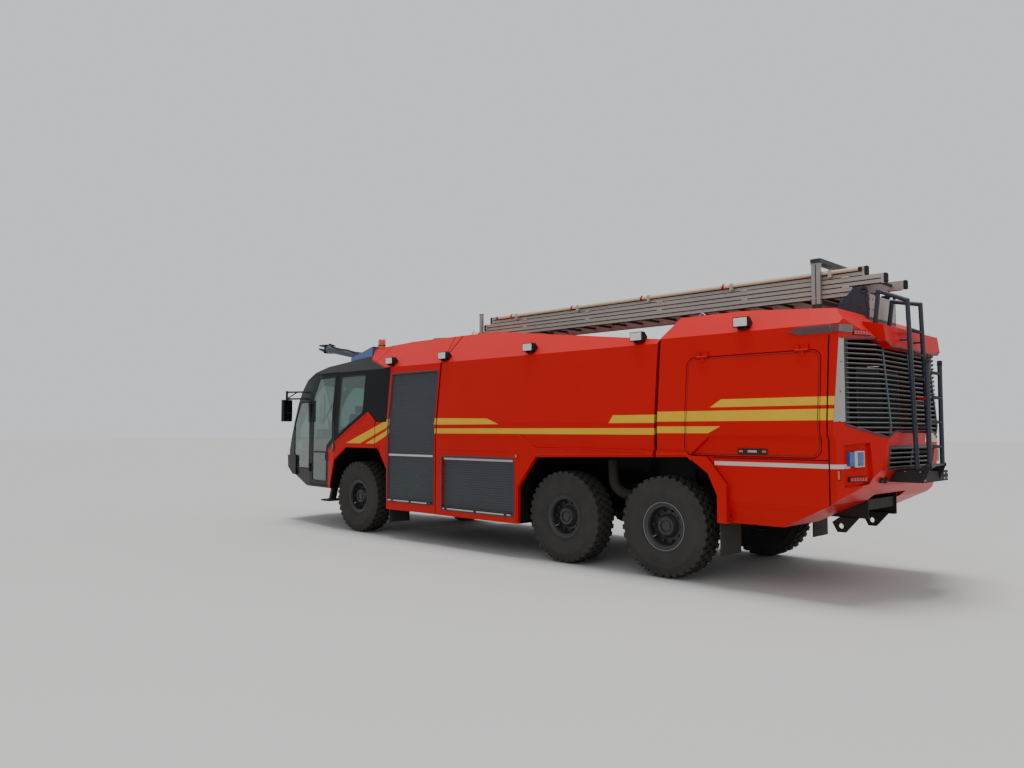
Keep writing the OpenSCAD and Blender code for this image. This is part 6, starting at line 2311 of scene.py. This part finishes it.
@dataclass
class Engine:
    """A vee engine inside the outline of the plain block, its fan and the cooler's frame."""

    low: tuple[float, float, float] = (-1.80, -0.43, 1.0803)
    high: tuple[float, float, float] = (-0.30, 0.43, 2.0303)

    def build(self) -> None:
        """Builds the engine in place of its block, and the cooler's trim."""
        self.crankcase()
        self.top_end()
        self.pipes()
        self.cooler()

    def crankcase(self) -> None:
        """Builds the sump, the case and the two banks."""
        case = Trim("engine_case", "chassis", Paint.IRON)
        (x0, _, z0), (x1, _, _) = self.low, self.high
        case.box(at(x0 + 0.10, -0.20, z0), at(x1 - 0.20, 0.20, z0 + 0.20))
        case.box(at(x0 + 0.06, -0.27, z0 + 0.18), at(x1 - 0.12, 0.27, z0 + 0.46))
        vee = ((-0.27, 0.44), (0.27, 0.44), (0.40, 0.66), (0.24, 0.78), (0.0, 0.60), (-0.24, 0.78),
               (-0.40, 0.66))
        case.prism([(y, z0 + z) for y, z in vee], 0, at(x0 + 0.08, 0, 0).x, at(x1 - 0.14, 0, 0).x)
        case.spin([(AXIS, 0.0), (0.25, 0.0), (0.27, 0.02), (0.27, 0.14), (0.23, 0.16),
                   (AXIS, 0.16)],
                  at(x1 - 0.16, 0, z0 + 0.34), 0, 48)
        for s in (1, -1):
            for x in (x1 - 0.60, x0 + 0.30):
                case.box(at(x, s * 0.27, z0), at(x + 0.10, s * 0.43, z0 + 0.10))
            for x in (x0 + 0.30, x1 - 0.60):
                case.box(at(x, s * 0.25, z0 + 0.08), at(x + 0.10, s * 0.33, z0 + 0.30))
        case.finish(bevel=0.008, replaces=("engine_block",))
        form = Trim("rib", "chassis", Paint.IRON)
        form.box((-0.008, -0.285, 0.0), (0.008, 0.285, 0.26))
        ribs = REPEAT.run(form, 12, step=(0.105, 0, 0), place=at(x0 + 0.10, 0, z0 + 0.19))
        bolts = [nut_row("chassis", Paint.BRIGHT, (0.010, 0.012), sign, 14,
                         at(x0 + 0.13, sign * 0.27, z0 + 0.22), step=(0.088, 0, 0))
                 for _, sign in SIDES]
        join("engine_ribs", "chassis", Paint.IRON, (ribs,), 0.002)
        join("engine_bolts", "chassis", Paint.BRIGHT, bolts, slot="engine_iron")

    def top_end(self) -> None:
        """Builds the valve covers, the intake, the filters and the alternator."""
        (x0, _, z0), (x1, _, top) = self.low, self.high
        covers = Trim("valve_covers", "chassis", Paint.PLASTIC)
        for s in (1, -1):
            turn = (Matrix.Translation(at((x0 + x1) / 2 - 0.03, s * 0.315, z0 + 0.72))
                    @ Matrix.Rotation(-s * math.radians(36), 4, "X"))
            for k in range(4):
                x = -0.62 + 0.315 * k
                covers.local_box(turn, (x, -0.105, 0.0), (x + 0.295, 0.105, 0.085))
        covers.finish(bevel=0.016)
        alloy = Trim("intake_manifold", "chassis", Paint.PROFILE, "engine_iron")
        alloy.tube([at(x0 + 0.16, 0, z0 + 0.80), at(x1 - 0.22, 0, z0 + 0.80)], 0.085, 24)
        for k in range(8):
            x = x0 + 0.22 + 0.145 * k
            for s in (1, -1):
                alloy.tube([at(x, 0, z0 + 0.80), at(x, s * 0.11, z0 + 0.83),
                            at(x, s * 0.19, z0 + 0.78)], 0.028, 12)
        alloy.tube([at(x1 - 0.24, 0, z0 + 0.80), at(x1 - 0.10, 0.06, z0 + 0.83),
                    at(x1 - 0.06, 0.20, z0 + 0.84)], 0.060, 18)
        alloy.finish()
        filters = Trim("engine_filters", "chassis", Paint.CREAM, "engine_iron")
        for x, s in ((x0 + 0.26, 1), (x0 + 0.40, 1), (x0 + 0.33, -1)):
            filters.spin([(AXIS, 0.0), (0.050, 0.004), (0.054, 0.02), (0.054, 0.19), (0.044, 0.20),
                          (AXIS, 0.20)],
                         at(x, s * 0.335, z0 + 0.12), 2, 28)
        filters.finish()
        air = Trim("air_cleaner", "chassis", Paint.PLASTIC)
        air.spin([(AXIS, 0.0), (0.095, 0.004), (0.105, 0.02), (0.105, 0.44), (0.095, 0.456),
                  (AXIS, 0.46)],
                 at(x1 - 0.58, 0.0, top - 0.11), 0, 36)
        for k in range(6):
            air.spin([(0.104, -0.006), (0.109, 0.0), (0.104, 0.006)],
                     at(x1 - 0.53 + 0.07 * k, 0.0, top - 0.11), 0, 36)
        air.finish()
        drive = Trim("alternator", "chassis", Paint.PROFILE, "engine_iron")
        for s, z in ((1, z0 + 0.40), (-1, z0 + 0.52)):
            drive.spin([(AXIS, 0.0), (0.070, 0.004), (0.078, 0.02), (0.078, 0.13), (0.060, 0.15),
                        (AXIS, 0.15)],
                       at(x0 + 0.06, s * 0.335, z), 0, 28)
            drive.spin([(0.020, -0.030), (0.040, -0.030), (0.030, -0.018), (0.040, -0.006),
                        (0.020, -0.006)],
                       at(x0 + 0.06, s * 0.335, z), 0, 24)
        drive.spin([(0.020, -0.045), (0.120, -0.045), (0.110, -0.030), (0.120, -0.015),
                    (0.020, -0.015)],
                   at(x0 + 0.06, 0.0, z0 + 0.20), 0, 36)
        drive.finish()

    def pipes(self) -> None:
        """Builds the exhaust manifolds, the turbocharger and the coolant hoses."""
        (x0, _, z0), (x1, _, _) = self.low, self.high
        hot = Trim("exhaust_manifolds", "chassis", Paint.RUST, "engine_iron")
        for s in (1, -1):
            hot.tube([at(x0 + 0.14, s * 0.375, z0 + 0.60), at(x1 - 0.24, s * 0.375, z0 + 0.60)],
                     0.042, 16)
            for k in range(4):
                x = x0 + 0.24 + 0.30 * k
                hot.tube([at(x, s * 0.31, z0 + 0.64), at(x, s * 0.375, z0 + 0.60)], 0.030, 12)
            hot.tube([at(x1 - 0.26, s * 0.375, z0 + 0.60), at(x1 - 0.16, s * 0.34, z0 + 0.66),
                      at(x1 - 0.10, s * 0.26, z0 + 0.72)],
                     0.045, 14)
            hot.spin([(AXIS, -0.05), (0.05, -0.05), (0.085, -0.03), (0.095, 0.0), (0.085, 0.03),
                      (0.05, 0.05), (AXIS, 0.05)],
                     at(x1 - 0.12, s * 0.25, z0 + 0.80), 1, 32)
        hot.finish()
        hose = Trim("coolant_hoses", "chassis", Paint.FLAP)
        hose.tube([at(x0 + 0.12, 0.12, z0 + 0.84), at(x0 - 0.02, 0.20, z0 + 0.98),
                   at(x0 - 0.12, 0.34, z0 + 1.10), at(-1.985, 0.42, z0 + 1.20)], 0.038, 16)
        hose.tube([at(x0 + 0.08, -0.18, z0 + 0.30), at(x0 - 0.06, -0.28, z0 + 0.34),
                   at(-1.985, -0.40, z0 + 0.44)], 0.038, 16)
        for k in range(5):
            hose.tube([at(x0 + 0.30 + 0.2 * k, 0.15, z0 + 0.88),
                       at(x0 + 0.34 + 0.2 * k, 0.22, z0 + 0.90),
                       at(x0 + 0.36 + 0.2 * k, 0.28, z0 + 0.86)], 0.008, 8)
        hose.finish()
        fan = Trim("cooling_fan", "chassis", Paint.PLASTIC)
        c = at(-1.90, 0.0, z0 + 0.88)
        fan.spin([(AXIS, -0.03), (0.07, -0.02), (0.08, 0.02), (AXIS, 0.03)], c, 0, 28)
        # Blades. Columns: distance from the axle, width, depth
        corners = ((0.07, -0.03, -0.018), (0.42, -0.06, -0.022), (0.42, 0.08, 0.022),
                   (0.07, 0.03, 0.018))
        for cos, sin in circle(9):
            blade = [c + Vector((x, cos * a - sin * b, sin * a + cos * b)) for a, b, x in corners]
            loft(fan.bm, [[fan.bm.verts.new(p + Vector((x, 0, 0))) for p in blade]
                          for x in (-0.002, 0.003)])
        fan.spin(rect(0.435, -0.045, 0.445, 0.045), c, 0, 56)
        fan.finish()

    def cooler(self) -> None:
        """Builds the tanks and the frame of the cooler."""
        tank = Trim("cooler_frame", "chassis", Paint.GREY, "radiator_alloy")
        for z0, z1 in ((1.400, 1.470), (2.450, 2.522)):
            tank.box(at(-2.086, -0.655, z0), at(-1.974, 0.655, z1))
        for y in (-0.655, 0.615):
            tank.box(at(-2.086, y, 1.47), at(-1.974, y + 0.040, 2.45))
        tank.spin([(AXIS, 0.0), (0.036, 0.0), (0.040, 0.010), (0.036, 0.022), (AXIS, 0.024)],
                  at(-2.03, 0.35, 2.522), 2, 24)
        tank.finish(bevel=0.006)


@dataclass
class Underside:
    """Drive shafts, tanks, brake chambers, dampers and the suction pipe."""

    def build(self) -> None:
        """Builds what hangs between the rails and in the arches."""
        shaft = Trim("drive_shafts", "chassis", Paint.STEEL)
        for x0, x1, z0, z1 in ((0.20, 1.42, 0.66, 0.66), (1.80, 3.20, 0.66, 0.74),
                               (3.75, 6.24, 0.74, 0.66)):
            shaft.tube([at(x0, 0, z0), at(x1, 0, z1)], 0.048, 18)
            for x, z in ((x0, z0), (x1, z1)):
                shaft.tube([at(x - 0.03, 0, z), at(x + 0.03, 0, z)], 0.078, 18)
        shaft.box(at(3.20, -0.24, 0.60), at(3.75, 0.24, 0.98))
        shaft.spin([(AXIS, -0.10), (0.20, -0.09), (0.22, 0.0), (0.20, 0.09), (AXIS, 0.10)],
                   at(3.48, 0.0, 0.79), 1, 36)
        shaft.finish(bevel=0.01)
        tanks = Trim("air_tanks", "chassis", Paint.GREY, "chassis_steel")
        for x, y in ((2.55, 0.22), (2.55, -0.22), (4.55, 0.22), (4.55, -0.22)):
            tanks.spin([(AXIS, -0.36), (0.06, -0.35), (0.115, -0.30), (0.12, -0.27), (0.12, 0.27),
                        (0.115, 0.30), (0.06, 0.35), (AXIS, 0.36)], at(x, y, 0.93), 0, 32)
        tanks.finish()
        straps = Trim("tank_straps", "chassis", Paint.STEEL)
        for x in (2.55, 4.55):
            for y in (0.22, -0.22):
                for dx in (-0.18, 0.18):
                    straps.spin(rect(0.121, -0.016, 0.126, 0.016), at(x + dx, y, 0.93), 0, 32)
        straps.finish()
        brake = Trim("brake_chambers", "chassis", Paint.STEEL)
        # Columns: start and end of each pipe (distance from the axle, y, z), radius, sides
        pipes = (((0.05, 0.80, 0.60), (0.02, 0.92, 0.62), 0.014, 10),
                 ((0.16, 0.70, 0.58), (0.20, 0.60, 0.85), 0.032, 16),
                 ((0.20, 0.60, 0.85), (0.22, 0.555, 1.02), 0.044, 16))
        for name, axle in reversed(AXLES):
            way = 1.0 if name == "front" else -1.0
            for _, sign in SIDES:
                brake.spin([(AXIS, 0.0), (0.070, 0.006), (0.078, 0.03), (0.078, 0.09),
                            (0.060, 0.13), (AXIS, 0.14)],
                           at(axle + way * 0.11, sign * 0.80, 0.60), 0, 28)
                for start, end, radius, sides in pipes:
                    brake.tube([at(axle + way * x, sign * y, z) for x, y, z in (start, end)],
                               radius, sides)
        brake.finish()
        bolts = [nut_row("chassis", Paint.STEEL, (0.012, 0.014), 1.0, 12, at(axle, 0.085, 0.62),
                         0.150)
                 for _, axle in reversed(AXLES)]
        join("differential_bolts", "chassis", Paint.STEEL, bolts)
        pipe = Trim("suction_pipe", "chassis", Paint.FLAP)
        for _, sign in SIDES:
            path = [at(1.015, sign * 1.05, 1.395), at(1.010, sign * 1.05, 1.16)]
            for c, s in circle(32)[1:9]:
                path.append(at(0.81 + 0.20 * c, sign * (0.95 + 0.10 * c), 1.16 - 0.22 * s))
            path.append(at(0.804, sign * 0.94, 0.86))
            pipe.tube(path, 0.070, 24)
            pipe.spin([(0.058, 0.0), (0.088, 0.0), (0.088, 0.028), (0.071, 0.034)],
                      at(0.804, sign * 0.94, 0.84), 2, 36)
        pipe.finish()
        flaps = Trim("mudflap_frames", "chassis", Paint.BRIGHT, "chassis_steel")
        for x0, x1, z, inner, outer in ((-0.827, -0.815, 0.965, 0.985, 1.435),
                                        (5.452, 5.460, 0.610, 1.005, 1.415)):
            for _, sign in SIDES:
                flaps.box(at(x0, sign * inner, z - 0.018), at(x1, sign * outer, z + 0.018))
                for k in range(6):
                    y = inner + 0.03 + (outer - inner - 0.06) * k / 5
                    flaps.bolt(at(x0, sign * y, z), (-1, 0, 0), 0.008, 0.006)
        flaps.finish()


ASSEMBLIES = (Wheels(), BodySides(), Cab(), Rear(), RoofLadder(), Turret(), Beacons(), Interior(),
              Engine(), Underside())


# ---------------------------------------------------------------- stage

@dataclass
class Stage:
    """Floor, soft lights and the camera of the photograph."""

    eye: Point = (-9.287, 9.801, 1.781)
    turn: float = -0.793
    pitch: float = 0.058
    roll: float = 0.002
    focal_px: float = 810.0
    picture_px: float = 1024.0
    floor: Colour = (0.50, 0.49, 0.475)
    sky: float = 0.98
    glow: float = 0.66
    sun: float = 2.8

    def build(self) -> None:
        """Builds the floor, the lights, the world and the camera."""
        self.ground()
        self.lights()
        self.world()
        self.camera()

    def ground(self) -> None:
        """Lays a large pale floor."""
        bm = bmesh.new()
        bmesh.ops.create_grid(bm, x_segments=1, y_segments=1, size=160.0)
        mesh = to_mesh(bm, "Floor")
        floor = put("Floor", mesh)
        floor.location.z = -0.004
        s = Shader("floor")
        s.set(Base_Color=s.mix(s.noise(0.4, 4.0), tuple(c * 0.95 for c in self.floor), self.floor),
              Roughness=0.85)
        mesh.materials.append(s.material)

    def lights(self) -> None:
        """Hangs a wide soft sun and two large soft lamps."""
        sun = bpy.data.lights.new("Sun", "SUN")
        sun.energy, sun.angle = self.sun, math.radians(22)
        self.lamp(sun, (0, 0, 0), (-0.12, 0.05, -1.0))
        target = Vector((0, 0, 1.2))
        for name, place, power in (("Key", (-9.0, 12.0, 8.0), 260.0),
                                   ("Fill", (-14.0, -4.0, 6.0), 160.0)):
            area = bpy.data.lights.new(name, "AREA")
            area.size, area.energy = 8.0, power
            self.lamp(area, place, target - Vector(place))

    def lamp(self, data: bpy.types.Light, place: Point, way: Point) -> None:
        """Hangs one lamp.

        Args:
            data: The lamp's data.
            place: Where it hangs.
            way: The way it shines.
        """
        lamp = put(data.name, data)
        lamp.location = place
        lamp.rotation_euler = Vector(way).to_track_quat("-Z", "Y").to_euler()

    def world(self) -> None:
        """Gives the camera a pale background and the truck a soft sky light."""
        world = bpy.data.worlds.new("Studio")
        bpy.context.scene.world = world
        world.use_nodes = True
        tree = world.node_tree
        tree.nodes.clear()
        path = add_node(tree, "ShaderNodeLightPath")
        skies = (((0.93, 0.96, 1.0, 1.0), self.glow), ((0.80, 0.82, 0.84, 1.0), self.sky))
        light, seen = (add_node(tree, "ShaderNodeBackground",
                                inputs={"Color": colour, "Strength": strength})
                       for colour, strength in skies)
        mixed = add_node(tree, "ShaderNodeMixShader", inputs={
            0: path.outputs["Is Camera Ray"], 1: light.outputs[0], 2: seen.outputs[0]})
        add_node(tree, "ShaderNodeOutputWorld", inputs={0: mixed.outputs[0]})

    def camera(self) -> None:
        """Places the camera where the photograph was taken."""
        data = bpy.data.cameras.new("Camera")
        data.sensor_width = 36.0
        data.lens = self.focal_px * data.sensor_width / self.picture_px
        data.clip_end = 400.0
        camera = put("Camera", data)
        ahead = Vector((math.cos(self.pitch) * math.cos(self.turn),
                        math.cos(self.pitch) * math.sin(self.turn), math.sin(self.pitch)))
        right = ahead.cross(Vector((0, 0, 1))).normalized()
        up = right.cross(ahead)
        axes = Matrix((right, up, -ahead)).transposed().to_4x4()
        roll = Matrix.Rotation(self.roll, 4, "Z")
        camera.matrix_world = Matrix.Translation(self.eye) @ axes @ roll
        bpy.context.scene.camera = camera


FINISH_OF_NODE = {
    Paint.RED: ("body_main", "rear_module", "front_fenders", "flap_left", "flap_right"),
    Paint.BLACK: ("cab_shell", "door_left", "door_right"),
    Paint.GLASS: ("windscreen", "side_glass", "door_glass_left", "door_glass_right"),
    Paint.STEEL: ("frame_rails", "axle_front", "bogie_axles", "knuckle_left", "knuckle_right",
                  "suspension", "tow_box"),
    Paint.BLUEGREY: ("turret_barrel",),
    Paint.GREY: ("ladder_rack", "turret_base", "turret_table", "access_ladder", "folding_ladder"),
    Paint.SHUTTER: ("shutters",),
    Paint.LADDER: ("roof_ladder",),
    Paint.CORE: ("radiator",),
    Paint.IRON: ("engine_block",),
    Paint.GRILLE: ("rear_grille",),
    Paint.PLASTIC: ("dashboard", "mirrors", "front_bumper", "cab_steps", "scene_lamps"),
    Paint.FLAP: ("mudflaps",),
    Paint.CLOTH: ("cab_seats",),
    Paint.LAMP: ("headlamps",),
    Paint.SMOKED: ("tail_lamps",),
    Paint.BLUE_LENS: ("beacons", "corner_lamps"),
    Paint.AMBER: ("roof_markers",),
    Paint.TYRE: tuple(f"tyre_{axle}_{side}" for axle, _ in AXLES for side, _ in SIDES),
    Paint.RIM: tuple(f"rim_{axle}_{side}" for axle, _ in AXLES for side, _ in SIDES),
}


def main() -> None:
    """Dresses the nodes and builds every assembly in order."""
    logging.basicConfig(level=logging.INFO, format="%(name)s: %(message)s")
    for paint, nodes in FINISH_OF_NODE.items():
        for node in nodes:
            SHOP.dress(node, paint)
    for assembly in ASSEMBLIES:
        log.info("building %s", type(assembly).__name__)
        assembly.build()
    Stage().build()


if __name__ == "__main__":
    main()
